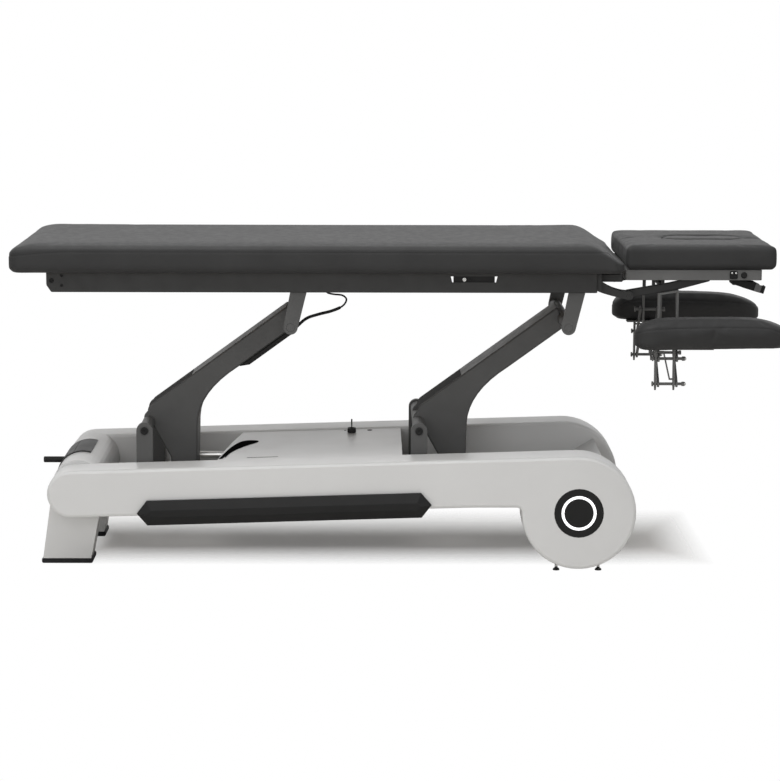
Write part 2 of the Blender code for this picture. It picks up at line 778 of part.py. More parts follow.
def cover_switch():
    """A small toggle on the cover, in its socket."""
    z = beam_top(SWITCH_X) - COVER_DROP + 0.001
    half = SWITCH_SIZE / 2
    base = box("switch_base", (SWITCH_X - half, SWITCH_Y - half, z),
               (SWITCH_X + half, SWITCH_Y + half, z + SWITCH_HEIGHT), 0.003, 2)
    well = cylinder("switch_well", 0.0060, (SWITCH_X, SWITCH_Y, z + SWITCH_HEIGHT * 0.3),
                    z + SWITCH_HEIGHT + 0.01, "Z", 16, tip=0.0095)
    cut(base, well)
    finish(base, BLACK)
    centre = (SWITCH_X, SWITCH_Y, z + SWITCH_HEIGHT * 0.3 + 0.0045)
    rod = turned("switch_rod", [(0, SWITCH_ROD), (0.0016, SWITCH_ROD), (0.0022, SWITCH_ROD - 0.002),
                                (0.0016, 0.004), (0.0038, 0.002), (0.0042, 0), (0.003, -0.003),
                                (0, -0.0042)], centre, steps=12)
    finish(rod, BLACK, 50)
    carry(pivot("switch_axis", centre), rod)


def arm_points(x):
    """Side view of a lift arm: a box beam that widens into a hanging gusset."""
    along = Vector((math.cos(ARM_REST), math.sin(ARM_REST)))
    across = Vector((-along.y, along.x))
    centre = Vector((x, PIVOT_Z))
    end = ARM_LENGTH + 0.006
    top_start = centre + along * 0.030 + across * ARM_ABOVE
    top_end = centre + along * end + across * ARM_ABOVE
    low_end = centre + along * (end - 0.012) - across * ARM_BELOW
    low_start = centre + along * 0.290 - across * ARM_BELOW
    side_top = centre + Vector((GUSSET_RIGHT + 0.003, -0.004))
    side_low = centre + Vector((GUSSET_RIGHT, -GUSSET_DROP + 0.012))
    bend = Vector((side_top.x + 0.004, line_z(low_start, low_start - along, side_top.x + 0.016)))
    curve = []
    for i in range(9):
        t = i / 8
        curve.append(low_start * (1 - t) ** 2 + bend * 2 * t * (1 - t) + side_top * t ** 2)
    foot = [side_low, side_low + Vector((-0.012, -0.012)),
            centre + Vector((GUSSET_RIGHT - GUSSET_WIDTH + 0.010, -GUSSET_DROP)),
            centre + Vector((GUSSET_RIGHT - GUSSET_WIDTH, -GUSSET_DROP + 0.014)),
            centre + Vector((GUSSET_RIGHT - GUSSET_WIDTH - 0.002, -0.098))]
    heel = [centre + Vector((0.012, 0.004 - SHAFT_RADIUS)), centre + Vector((-0.012, -0.006)),
            centre + Vector((-0.014, 0.018)), centre + Vector((0.000, 0.034))]
    return [tuple(p) for p in [top_start, top_end, low_end] + curve + foot + heel][::-1]


def lift_arm(name, x):
    """The arm with its lower shaft, hollow from below, on its lower pivot."""
    half = ARM_WIDTH / 2
    outline = arm_points(x)
    body = bevel(plate(name, [outline], -half, half), 0.004, 1, 25)
    along = Vector((math.cos(ARM_REST), 0, math.sin(ARM_REST)))
    across = Vector((-along.z, 0, along.x))
    depth = ARM_ABOVE + ARM_BELOW
    hollow = box("arm_hollow", (0.110, -half + ARM_WALL, -ARM_BELOW - depth),
                 (ARM_LENGTH - 0.035, half - ARM_WALL, ARM_ABOVE - ARM_WALL))
    frame = Matrix(((along.x, 0, across.x, x), (0, 1, 0, 0),
                    (along.z, 0, across.z, PIVOT_Z), (0, 0, 0, 1)))
    hollow.matrix_world = frame @ hollow.matrix_world
    gusset = box("gusset_hollow",
                 (x + GUSSET_RIGHT - GUSSET_WIDTH + 0.004, -half + ARM_WALL, PIVOT_Z - GUSSET_DROP - 0.05),
                 (x + GUSSET_RIGHT - ARM_WALL, half - ARM_WALL, PIVOT_Z - 0.030))
    cut(body, hollow, gusset)
    shaft = cylinder("shaft", SHAFT_RADIUS, (x, -SHAFT_HALF, PIVOT_Z), SHAFT_HALF, sides=18)
    stub = cylinder("stub", SHAFT_END_RADIUS, (x, -SHAFT_HALF - POST_THICKNESS, PIVOT_Z),
                    SHAFT_HALF + POST_THICKNESS, sides=18)
    ux = x + UPPER_DX
    upper = cylinder("upper", SHAFT_RADIUS, (ux, -UPPER_SHAFT_HALF, UPPER_Z), UPPER_SHAFT_HALF,
                     sides=18)
    upper_stub = cylinder("upper_stub", SHAFT_END_RADIUS,
                          (ux, -UPPER_SHAFT_HALF - HANGER_THICKNESS, UPPER_Z),
                          UPPER_SHAFT_HALF + HANGER_THICKNESS, sides=18)
    return union(body, shaft, stub, upper, upper_stub)


def lift_arms():
    for name, x in (("lift_arm_foot", PIVOT_X), ("lift_arm_head", HEAD_ARM_PIVOT_X)):
        arm = lift_arm(name, x)
        if name == "lift_arm_foot":
            eye = (x + DRIVE_PIN_X, ARM_WIDTH / 2 - 0.003, PIVOT_Z - DRIVE_PIN_DROP)
            arm = union(arm, cylinder("drive_pin", DRIVE_PIN_RADIUS, eye, ARM_WIDTH / 2 + 0.032,
                                      sides=16))
        arm.name = name
        finish(arm, STEEL, 35)
        carry(pivot(name + "_axis", (x, 0, PIVOT_Z)), arm)


def cable_duct():
    """The cover for the lead, along the underside of the foot-end arm."""
    along = Vector((math.cos(ARM_REST), math.sin(ARM_REST)))
    across = Vector((-along.y, along.x))
    centre = Vector((PIVOT_X, PIVOT_Z))
    low = -ARM_BELOW - CLEARANCE
    points = [centre + along * 0.292 + across * low,
              centre + along * (ARM_LENGTH - DUCT_END) + across * low,
              centre + along * (ARM_LENGTH - DUCT_END) + across * (low - DUCT_DEPTH),
              centre + along * 0.318 + across * (low - DUCT_DEPTH)]
    edge = ARM_WIDTH / 2
    duct = plate("cable_duct", [[tuple(p) for p in points]], -edge, -edge + DUCT_WIDTH)
    bevel(duct, 0.002, 1)
    finish(duct, BLACK)
    return duct


def drive():
    """The electric actuator in the base and its slotted head on the arm's pin."""
    pin_x = PIVOT_X + DRIVE_PIN_X
    pin_z = PIVOT_Z - DRIVE_PIN_DROP
    y = DRIVE_Y
    radius = math.hypot(DRIVE_PIN_X, DRIVE_PIN_DROP)
    slot_half = DRIVE_PIN_RADIUS + DRIVE_SLOT_PLAY
    slot_top = PIVOT_Z - DRIVE_PIN_DROP + 0.048
    slot_low = PIVOT_Z - radius - DRIVE_PIN_RADIUS - 0.004
    hole = racetrack(((slot_low + slot_top) / 2, -pin_x), slot_top - slot_low + 0.012,
                     slot_half * 2, 6)
    hole = [(-v, u) for u, v in hole]
    rim = 0.008
    outer = rounded_rectangle((pin_x - slot_half - rim, slot_low - 0.006 - rim),
                              (pin_x + slot_half + rim, slot_top + 0.006 + rim), 0.012, 4)
    head = plate("drive_head", [outer, hole], y - 0.005, y + 0.005)
    body_start = pin_x + 0.150
    rod = cylinder("rod", 0.009, (pin_x + slot_half + rim - 0.004, y, pin_z), body_start + 0.120,
                   "X", 16)
    rod = union(head, rod)
    rod.name = "drive_rod"
    finish(rod, BRIGHT, 40)
    tube_part = cylinder("drive_tube", 0.021, (body_start, y, pin_z), body_start + 0.230, "X", 24)
    motor = box("motor", (body_start + 0.170, y - 0.105, pin_z - 0.028),
                (body_start + 0.262, y + 0.028, pin_z + 0.026), 0.006, 2)
    bore = cylinder("rod_bore", 0.0096, (body_start - 0.01, y, pin_z), body_start + 0.165, "X", 16)
    foot = box("drive_foot", (body_start + 0.190, y - 0.070, CHASSIS_Z + CLEARANCE),
               (body_start + 0.240, y + 0.010, pin_z - 0.020))
    housing = union(tube_part, motor, foot)
    cut(housing, bore)
    housing.name = "drive_housing"
    finish(housing, BLACK, 40)


def rails():
    """Two channels open to the middle, one with the recess for the lock screw."""
    for side_name, side in SIDES:
        top = TABLE_Z + RAIL_HEIGHT
        corner_x = 0.013
        corner_z = 0.019
        outline = [(RAIL_FOOT_X, TABLE_Z + corner_z), (RAIL_FOOT_X + corner_x, TABLE_Z),
                   (RAIL_HEAD_X, TABLE_Z), (RAIL_HEAD_X, top), (RAIL_FOOT_X, top)]
        low, high = sorted((side * (RAIL_OUTER_Y - RAIL_WIDTH), side * RAIL_OUTER_Y))
        rail = bevel(plate("rail_" + side_name, [outline], low, high), 0.002, 1)
        inner, web = sorted((side * (RAIL_OUTER_Y - RAIL_WIDTH - 0.01),
                             side * (RAIL_OUTER_Y - RAIL_WALL)))
        hollow = box("rail_hollow", (RAIL_FOOT_X + 0.022, inner, TABLE_Z + RAIL_WALL),
                     (RAIL_HEAD_X - 0.020, web, top - RAIL_WALL))
        cutters = [hollow]
        if side < 0:
            half = RECESS_LENGTH / 2
            tall = RECESS_HEIGHT / 2
            z = top - 0.018
            shape = [(RECESS_X - half + 0.004, z - tall), (RECESS_X + half - 0.004, z - tall),
                     (RECESS_X + half, z + tall), (RECESS_X - half, z + tall)]
            cutters.append(plate("recess", [shape], -RAIL_OUTER_Y - 0.01,
                                 -RAIL_OUTER_Y + RAIL_WALL * 2))
        cut(rail, *cutters)
        finish(rail, STEEL)


def cross_members():
    """Bars between the rails, at the foot end and over the hangers."""
    top = TABLE_Z + RAIL_HEIGHT - RAIL_WALL - CLEARANCE
    inner = RAIL_OUTER_Y - RAIL_WIDTH - CLEARANCE
    inside = RAIL_OUTER_Y - RAIL_WALL - CLEARANCE
    stations = (("foot_end", RAIL_FOOT_X + 0.011, 0.018, inner),
                ("foot", PIVOT_X + UPPER_DX + HANGER_LEAN, 0.036, inside),
                ("head", HEAD_ARM_PIVOT_X + UPPER_DX + HANGER_LEAN, 0.036, inside))
    for name, x, wide, reach in stations:
        bar = box("cross_member_" + name, (x - wide / 2, -reach, top - 0.027),
                  (x + wide / 2, reach, top), 0.002, 1)
        finish(bar, STEEL)


def hangers():
    for name, x in (("foot", PIVOT_X), ("head", HEAD_ARM_PIVOT_X)):
        px = x + UPPER_DX
        centre = (px, UPPER_Z)
        half = HANGER_WIDTH / 2
        top = TABLE_Z - CLEARANCE
        outline = [(px + HANGER_LEAN + half, top), (px + HANGER_LEAN - half, top)]
        outline += arc(centre, HANGER_RADIUS, 172, 352, 12)
        hole = arc(centre, SHAFT_END_RADIUS + RUNNING, 0, 340, 17)
        for side_name, side in SIDES:
            low, high = sorted((side * (HANGER_Y - HANGER_THICKNESS / 2),
                                side * (HANGER_Y + HANGER_THICKNESS / 2)))
            hanger = plate("hanger_%s_%s" % (name, side_name), [outline[::-1], hole], low, high)
            finish(hanger, STEEL, 40)


def main_board():
    z = CUSHION_Z
    half = CUSHION_WIDTH / 2 - BOARD_MARGIN
    board = box("main_board", (CUSHION_FOOT_X + BOARD_MARGIN, -half, z),
                (CUSHION_HEAD_X - BOARD_MARGIN, half, z + BOARD_THICKNESS))
    finish(board, WOOD)


def main_cushion():
    """The padded top, which slopes down towards both ends."""
    z = CUSHION_Z
    top = z + CUSHION_HEIGHT
    foot = CUSHION_FOOT_X
    head = CUSHION_HEAD_X
    drop = CUSHION_SLOPE_DROP
    outline = [(foot + 0.005, z), (head - 0.002, z), (head, z + 0.006),
               (head, top - drop - 0.022), (head - 0.008, top - drop - 0.006),
               (head - 0.030, top - drop + 0.006), (head - 0.075, top - 0.006),
               (head - CUSHION_SLOPE, top), (foot + CUSHION_SLOPE, top),
               (foot + 0.070, top - 0.004), (foot + 0.034, top - drop + 0.008),
               (foot + 0.010, top - drop - 0.006), (foot, top - drop - 0.022),
               (foot, z + 0.008)]
    half = CUSHION_WIDTH / 2
    cushion = plate("main_cushion", [outline], -half, half)
    bevel(cushion, CUSHION_EDGE, 3, 70)
    inset = half - BOARD_MARGIN + CLEARANCE
    pocket = box("board_pocket", (foot + BOARD_MARGIN - CLEARANCE, -inset, z - 0.02),
                 (head - BOARD_MARGIN + CLEARANCE, inset, z + BOARD_THICKNESS + CLEARANCE))
    cut(cushion, pocket)
    finish(cushion, HIDE, 50)


def bolt(x, side, z, radius, out, sides=14):
    """A round screw head on a face that looks sideways."""
    head = cylinder("bolt", radius, (x, side * (out + CLEARANCE), z),
                    side * (out + CLEARANCE + radius * 0.8), sides=sides)
    return bevel(head, radius * 0.3, 1)


def lock_screw():
    """The screw and ring nut seen in the near rail's recess, on a small plate."""
    z = TABLE_Z + RAIL_HEIGHT - 0.018
    face = -RAIL_OUTER_Y + RAIL_WALL + CLEARANCE
    back = box("plate", (RECESS_X - 0.055, face, z - 0.014), (RECESS_X + 0.055, face + 0.004,
                                                            z + 0.0135))
    screw = cylinder("screw", 0.0045, (RECESS_X - 0.026, face + 0.002, z), face - 0.0045, sides=16)
    nut = cylinder("nut", 0.0055, (RECESS_X - 0.011, face + 0.002, z), face - 0.0035, sides=6)
    eye = cylinder("eye", 0.0026, (RECESS_X - 0.011, face - 0.0015, z), face - 0.01, sides=12)
    nut = cut(nut, eye)
    screw = union(back, screw, nut)
    screw.name = "lock_screw"
    finish(screw, BRIGHT)


def head_brackets():
    """Curved arms from the rails' ends down to the headrest's pivot."""
    arms = []
    for _, side in SIDES:
        low, high = sorted((side * (HEAD_ARM_Y + HEAD_ARM_THICKNESS / 2 + RUNNING),
                            side * (RAIL_OUTER_Y - RAIL_WIDTH + 0.001)))
        start_x = RAIL_HEAD_X + CLEARANCE
        centre = (HEAD_PIVOT_X, HEAD_PIVOT_Z)
        eye = HEAD_PIVOT_RADIUS
        outline = [(start_x, TABLE_Z + 0.003)]
        steps = 6
        for i in range(1, steps):
            t = i / steps
            outline.append((start_x + (HEAD_PIVOT_X - start_x) * t,
                            TABLE_Z + 0.003 - (TABLE_Z + 0.003 - HEAD_PIVOT_Z + eye) * t ** 0.8))
        outline += arc(centre, eye, -90, 80, 8)
        for i in range(1, steps + 1):
            t = i / steps
            outline.append((HEAD_PIVOT_X - (HEAD_PIVOT_X - start_x) * t,
                            HEAD_PIVOT_Z + eye + (0.036 + TABLE_Z - HEAD_PIVOT_Z - eye) * t ** 2))
        hole = arc(centre, 0.0045 + RUNNING, 0, 330, 11)
        arms.append(plate("arm", [outline, hole], low, high))
    plate_y = RAIL_OUTER_Y - RAIL_WIDTH
    beam = box("head_beam", (RAIL_HEAD_X + CLEARANCE, -plate_y - 0.02, TABLE_Z + 0.004),
               (RAIL_HEAD_X + 0.012, plate_y + 0.02, TABLE_Z + RAIL_HEIGHT - 0.004))
    stops = []
    for _, side in SIDES:
        low, high = sorted((side * (HEAD_RAIL_Y - 0.030), side * HEAD_RAIL_Y))
        stops.append(box("stop", (RAIL_HEAD_X + 0.008, low, TABLE_Z + 0.024),
                         (HEAD_X - 0.006, high, TABLE_Z + 0.046), 0.003, 1))
    brackets = union(beam, *arms, *stops)
    brackets.name = "head_brackets"
    finish(brackets, STEEL, 35)


def arm_underside(x):
    """Height of the tapered arms' lower edge."""
    return line_z((HEAD_PIVOT_X, HEAD_PIVOT_Z - HEAD_PIVOT_RADIUS),
                  (HEAD_PIVOT_X + HEAD_ARM_TAPER, HEAD_PIVOT_Z + 0.013), x)


def headrest_arms():
    """Tapered arms on the pivot, which carry the headrest frame and the armrests."""
    arms = []
    px, pz = HEAD_PIVOT_X, HEAD_PIVOT_Z
    top = HEAD_FRAME_Z - CLEARANCE
    outline = arc((px, pz), HEAD_PIVOT_RADIUS, 95, 270, 10)
    outline += [(px + HEAD_ARM_TAPER, arm_underside(px + HEAD_ARM_TAPER)),
                (px + HEAD_ARM_REACH, top - 0.005),
                (px + HEAD_ARM_REACH, top), (px + 0.150, top), (px + 0.112, top - 0.009)]
    for _, side in SIDES:
        low, high = sorted((side * (HEAD_ARM_Y - HEAD_ARM_THICKNESS / 2),
                            side * (HEAD_ARM_Y + HEAD_ARM_THICKNESS / 2)))
        arms.append(bevel(plate("arm", [outline], low, high), 0.002, 1, 50))
        arms.append(cylinder("pin", 0.0045, (px, side * HEAD_ARM_Y, pz),
                             side * (RAIL_OUTER_Y - RAIL_WIDTH + 0.004), sides=16))
    tie = cylinder("tie", 0.008, (px + 0.100, -HEAD_ARM_Y, pz + 0.016), HEAD_ARM_Y, sides=16)
    joined = union(tie, *arms, *headrest_spacers())
    joined.name = "headrest_arms"
    finish(joined, STEEL, 40)


def headrest_spacers():
    """Black spacers between the tapered arms and the frame."""
    pieces = []
    for _, side in SIDES:
        for x in (0.045, 0.070, 0.095):
            root = HEAD_PIVOT_Z + HEAD_PIVOT_RADIUS + 0.17 * x - 0.003
            pieces.append(box("spacer", (HEAD_PIVOT_X + x - 0.004, side * HEAD_ARM_Y - 0.006, root),
                              (HEAD_PIVOT_X + x + 0.004, side * HEAD_ARM_Y + 0.006,
                               HEAD_FRAME_Z - CLEARANCE)))
    return pieces


def headrest_frame():
    """Two side rails and two cross bars in one welded frame."""
    z = HEAD_FRAME_Z
    start = HEAD_X
    end = start + HEAD_FRAME_LENGTH
    outer = rounded_rectangle((start, -HEAD_RAIL_Y), (end, HEAD_RAIL_Y), 0.006, 3)
    inner = rounded_rectangle((start + HEAD_RAIL_WIDTH, -HEAD_RAIL_Y + HEAD_RAIL_WIDTH + 0.020),
                              (end - HEAD_RAIL_WIDTH, HEAD_RAIL_Y - HEAD_RAIL_WIDTH - 0.020),
                              0.006, 3)
    frame = plate("headrest_frame", [outer, inner], z, z + HEAD_RAIL_HEIGHT, "XY")
    bevel(frame, 0.0015, 1, 50)
    finish(frame, GREY_STEEL)


def headrest_cushion():
    start = HEAD_X
    half = HEAD_WIDTH / 2
    z = HEAD_CUSHION_Z
    outline = rounded_rectangle((start, -half), (start + HEAD_LENGTH, half), 0.016, 4)
    cushion = plate("headrest_cushion", [outline], z, z + HEAD_HEIGHT, "XY")
    bevel(cushion, HEAD_EDGE, 3, 60)
    hole = plate("face_slot", [racetrack((FACE_SLOT_X, 0), FACE_SLOT_LENGTH, FACE_SLOT_WIDTH)],
                 z - 0.02, z + HEAD_HEIGHT + 0.02, "XY")
    cut(cushion, hole)
    finish(cushion, HIDE, 50)


def face_plug():
    """The soft plug that fills the face slot and lifts out."""
    fit = 0.001
    z = HEAD_CUSHION_Z
    outline = racetrack((FACE_SLOT_X, 0), FACE_SLOT_LENGTH - 2 * fit, FACE_SLOT_WIDTH - 2 * fit)
    plug = plate("face_plug", [outline], z, z + HEAD_HEIGHT, "XY")
    bevel(plug, 0.006, 2, 60)
    finish(plug, HIDE, 50)


def headrest_fittings():
    """The latch block with two studs, and the round knob beside it."""
    out = HEAD_RAIL_Y
    z = HEAD_FRAME_Z + HEAD_RAIL_HEIGHT / 2
    knob = bolt(HEAD_X + 0.317, -1, z, 0.0085, out)
    knob.name = "latch_knob"
    finish(knob, BLACK, 40)
    block = box("latch_block", (HEAD_X + 0.279, -out - 0.005, z - 0.010),
                (HEAD_X + 0.300, -out - CLEARANCE, z + 0.011), 0.003, 1)
    studs = [cylinder("stud", 0.003, (HEAD_X + 0.2895 + shift, -out - 0.003, z + 0.006),
                      -out - 0.0075, sides=12) for shift in (-0.005, 0.0055)]
    block = union(block, *studs)
    block.name = "latch_block"
    finish(block, BLACK, 40)


def release_lever():
    """A sheet lever under the headrest's outer end, on ears of the frame."""
    x = RELEASE_X
    z = HEAD_FRAME_Z - 0.0085
    y = -HEAD_ARM_Y + 0.020
    half = RELEASE_WIDTH / 2
    ears = []
    for side in (-1, 1):
        low, high = sorted((y + side * (half + RUNNING), y + side * (half + RUNNING + 0.003)))
        outline = [(x - 0.010, HEAD_FRAME_Z - CLEARANCE)] + arc((x, z), 0.008, 180, 360, 8)
        outline += [(x + 0.010, HEAD_FRAME_Z - CLEARANCE)]
        ears.append(plate("ear", [outline, arc((x, z), 0.0035, 0, 330, 11)], low, high))
    top = box("top", (x - 0.010, y - half - RUNNING - 0.003, HEAD_FRAME_Z - CLEARANCE - 0.0018),
              (x + 0.010, y + half + RUNNING + 0.003, HEAD_FRAME_Z - CLEARANCE))
    ears = union(top, *ears)
    ears.name = "release_ears"
    finish(ears, STEEL, 40)
    length = RELEASE_LENGTH
    sheet = 0.003
    profile = [(-0.004, -0.0045), (0.004, -0.0065), (length, -0.0085), (length + 0.002, -0.0075),
               (length + 0.002, 0.012), (length - 0.001, 0.012), (length - 0.001, -0.0050),
               (0.004, -0.0035), (-0.004, 0.0030)]
    body = plate("release_lever", [profile], y - half, y + half)
    walls = []
    for side in (-1, 1):
        low, high = sorted((y + side * half, y + side * (half - sheet)))
        shape = [(-0.005, -0.0045), (length, -0.0080), (length, 0.010), (length * 0.35, 0.006),
                 (0.004, 0.0045), (-0.005, 0.0045)]
        walls.append(plate("wall", [shape], low, high))
    pin = cylinder("pin", 0.003, (0, y - half - 0.004, 0), y + half + 0.004, sides=12)
    lever = union(body, *walls, pin)
    lever.name = "release_lever"
    lever.data.transform(Matrix.Translation((x, 0, z))
                         @ Matrix.Rotation(math.radians(RELEASE_DROP), 4, "Y"))
    finish(lever, BLACK)
    carry(pivot("release_axis", (x, y, z)), lever)


def link_layers():
    """X of the carrier, link and bracket plates at each of the two plate sets."""
    for shift in (0, LINK_PAIR_SPACING):
        yield (LINK_X - LINK_LAYER + shift, LINK_X + shift, LINK_X + LINK_LAYER + shift)


def yz_plate(name, outlines, x):
    return plate(name, outlines, x - LINK_PLATE / 2, x + LINK_PLATE / 2, "YZ")


def sided(outline, side):
    return mirrored(outline) if side < 0 else outline


def armrest(side_name, side):
    """A pad on a parallelogram of two links, hung from a bracket."""
    inner = ((LINK_INNER_Y, LINK_INNER_Z), (LINK_INNER_Y, LINK_INNER_Z - LINK_SPACING))
    outer = tuple((y + LINK_REACH, z - LINK_DROP) for y, z in inner)
    hole = LINK_PIN_RADIUS + CLEARANCE
    cap_y = LINK_INNER_Y - 0.020

    # Hanging bracket, two plates and a sloping cap under the tapered arm
    plates = []
    for _, _, x in link_layers():
        lobe = LINK_LOBE
        arm_bottom = arm_underside(x) + 0.001
        outline = [(LINK_INNER_Y + lobe, arm_bottom - 0.004), (cap_y, arm_bottom - 0.004),
                   (cap_y, arm_bottom - 0.034), (LINK_INNER_Y - lobe, arm_bottom - 0.050)]
        outline += arc(inner[1], lobe, 180, 360, 10)
        holes = [arc(centre, hole, 0, 324, 9) for centre in inner]
        shapes = [sided(o, side) for o in [outline] + holes]
        plates.append(yz_plate("hanger", shapes, x))
    first = LINK_X + LINK_LAYER - LINK_PLATE / 2
    last = LINK_X + LINK_LAYER + LINK_PAIR_SPACING + LINK_PLATE / 2
    low, high = sorted((side * cap_y, side * (LINK_INNER_Y + LINK_LOBE)))
    ends = [(x, arm_underside(x) - CLEARANCE) for x in (first, last)]
    cap = plate("cap", [ends + [(x, z - LINK_PLATE) for x, z in reversed(ends)]], low, high)
    bracket = union(cap, *plates)
    bracket.name = "arm_bracket_" + side_name
    finish(bracket, STEEL, 40)

    # Two links, each with two plates and its pins
    pin_start = LINK_X - LINK_LAYER - LINK_PLATE / 2 - 0.003
    pin_end = LINK_X + LINK_LAYER + LINK_PAIR_SPACING + LINK_PLATE / 2 + 0.004
    for i, label in enumerate(("upper", "lower")):
        a = (side * inner[i][0], inner[i][1])
        b = (side * outer[i][0], outer[i][1])
        bodies = []
        for _, x, _ in link_layers():
            bodies.append(yz_plate("link", [capsule(a, b, LINK_LOBE - 0.001, 6)], x))
        for y, z in (a, b):
            bodies.append(cylinder("pin", LINK_PIN_RADIUS, (pin_start, y, z), pin_end, "X", 10))
            bodies.append(cylinder("head", LINK_PIN_RADIUS * 1.7, (pin_start, y, z),
                                   pin_start - 0.004, "X", 10))
            bodies.append(cylinder("cap", LINK_PIN_RADIUS * 1.5, (pin_end - 0.001, y, z),
                                   pin_end + 0.006, "X", 10))
        link = union(bodies[0], *bodies[1:])
        link.name = "arm_link_%s_%s" % (label, side_name)
        finish(link, GREY_STEEL, 40)
        carry(pivot(link.name + "_axis", (LINK_X, a[0], a[1])), link)

    # Carrier: two upright plates, a tie and the table under the pad
    plates = []
    table_z = PAD_BOTTOM_Z - CLEARANCE
    sheet = 0.005
    for x, _, _ in link_layers():
        lobe = LINK_LOBE
        centre_y = outer[0][0]
        outline = [(centre_y + lobe, table_z - 0.001), (centre_y - lobe, table_z - 0.001)]
        outline += arc(outer[1], lobe, 180, 250, 4)
        outline += [(centre_y, outer[1][1] - lobe - 0.007)]
        outline += arc(outer[1], lobe, 290, 360, 4)
        holes = [arc(centre, hole, 0, 324, 9) for centre in outer]
        plates.append(yz_plate("upright", [sided(o, side) for o in [outline] + holes], x))
    first = LINK_X - LINK_LAYER - LINK_PLATE / 2
    last = LINK_X - LINK_LAYER + LINK_PAIR_SPACING + LINK_PLATE / 2
    low, high = sorted((side * (outer[0][0] - LINK_LOBE), side * (outer[0][0] + 0.026)))
    table = box("table", (first - 0.020, low, table_z - sheet), (last + 0.100, high, table_z))
    rod_x = (first + LINK_PLATE / 2, last - LINK_PLATE / 2)
    thin = 0.003
    y = side * (outer[0][0] + LINK_PIN_RADIUS + thin + 0.0007)
    brace = tube("brace", [(rod_x[0], y, table_z - 0.012), (rod_x[0] + 0.020, y, table_z - 0.012),
                           (rod_x[1] - 0.012, y, outer[1][1] + 0.014),
                           (rod_x[1], y, outer[1][1] + 0.014)], thin, 1)
    carrier = union(table, *plates, brace)
    carrier.name = "arm_carrier_" + side_name
    finish(carrier, GREY_STEEL, 40)
    carry(pivot(carrier.name + "_axis", (LINK_X, side * outer[0][0], outer[0][1])), carrier)

    # The pad, its head end turned inwards
    half = PAD_WIDTH / 2
    outline = []
    outline += arc((PAD_LENGTH - half, 0), half, -90, 90, 12)
    outline += arc((half * 0.8, 0), half, 90, 270, 12)
    pad = plate("arm_pad_" + side_name, [outline], PAD_BOTTOM_Z, PAD_BOTTOM_Z + PAD_HEIGHT, "XY")
    bevel(pad, 0.020, 3, 60)
    middle = PAD_LENGTH / 2
    pad.data.transform(Matrix.Translation((PAD_START_X + middle, side * PAD_CENTRE_Y, 0))
                       @ Matrix.Rotation(math.radians(-side * PAD_TOE_IN), 4, "Z")
                       @ Matrix.Translation((-middle, 0, 0)))
    finish(pad, HIDE, 50)


def lead_route():
    """The lead's loop from the duct's upper end to the clip under the frame."""
    px = PIVOT_X + UPPER_DX
    y = -ARM_WIDTH / 2 + DUCT_WIDTH / 2
    along = Vector((math.cos(ARM_REST), 0, math.sin(ARM_REST)))
    across = Vector((-along.z, 0, along.x))
    start = (Vector((PIVOT_X, y, PIVOT_Z)) + along * (ARM_LENGTH - DUCT_END + CLEARANCE)
             - across * (ARM_BELOW + DUCT_DEPTH / 2))
    return [
        start, start + along * 0.012, (px + 0.036, y - 0.002, UPPER_Z - 0.003), (px + 0.070, y - 0.008, UPPER_Z + 0.010),
        (px + 0.106, y - 0.014, UPPER_Z + 0.020), (px + 0.136, y - 0.018, UPPER_Z + 0.034),
        (px + 0.147, y - 0.020, UPPER_Z + 0.052), (px + 0.136, y - 0.022, UPPER_Z + 0.064),
        (px + 0.112, y - 0.022, UPPER_Z + 0.067), (px + 0.096, y - 0.022, UPPER_Z + 0.071),
        (px + 0.090, y - 0.022, UPPER_Z + 0.079), (px + 0.090, y - 0.022, UPPER_Z + 0.085),
    ]


def smooth_path(points, steps):
    """Catmull-Rom points through the route."""
    path = []
    for i in range(len(points) - 1):
        p0 = Vector(points[max(i - 1, 0)])
        p1 = Vector(points[i])
        p2 = Vector(points[i + 1])
        p3 = Vector(points[min(i + 2, len(points) - 1)])
        for s in range(steps):
            t = s / steps
            path.append(0.5 * (2 * p1 + (p2 - p0) * t + (2 * p0 - 5 * p1 + 4 * p2 - p3) * t ** 2
                               + (3 * p1 - p0 - 3 * p2 + p3) * t ** 3))
    path.append(Vector(points[-1]))
    return path


def lead():
    route = smooth_path(lead_route(), 3)
    finish(tube("lift_lead", route, 0.0028, 2), RUBBER, 60)
    end = route[-1]
    top = TABLE_Z + RAIL_HEIGHT - RAIL_WALL - 0.030
    clip = cylinder("lead_clip", 0.0060, (end.x, end.y, end.z + 0.0008), top, "Z", 16)
    strap = box("clip_strap", (end.x - 0.050, end.y - 0.008, top - 0.001),
                (PIVOT_X + UPPER_DX + HANGER_LEAN + 0.120, end.y + 0.008, top + 0.003))
    clip = union(clip, strap)
    clip.name = "lead_clip"
    finish(clip, BLACK)


def main():
    side_beams()
    fender_lamps()
    end_housing()
    foot_pads()
    hood_panels()
    floor_lever()
    foot_bars()
    chassis()
    pivot_stands()
    centre_cover()
    head_tray()
    cover_switch()
    lift_arms()
    cable_duct()
    drive()
    rails()
    cross_members()
    hangers()
    main_board()
    main_cushion()
    lock_screw()
    head_brackets()
    headrest_arms()
    headrest_frame()
    headrest_cushion()
    face_plug()
    headrest_fittings()
    release_lever()
    for side_name, side in SIDES:
        armrest(side_name, side)
    lead()


main()
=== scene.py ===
import json
import math

import bmesh
import bpy
import numpy as np
from bpy.props import FloatProperty, FloatVectorProperty, PointerProperty
from mathutils import Matrix, Vector
from mathutils.bvhtree import BVHTree
from mathutils.kdtree import KDTree


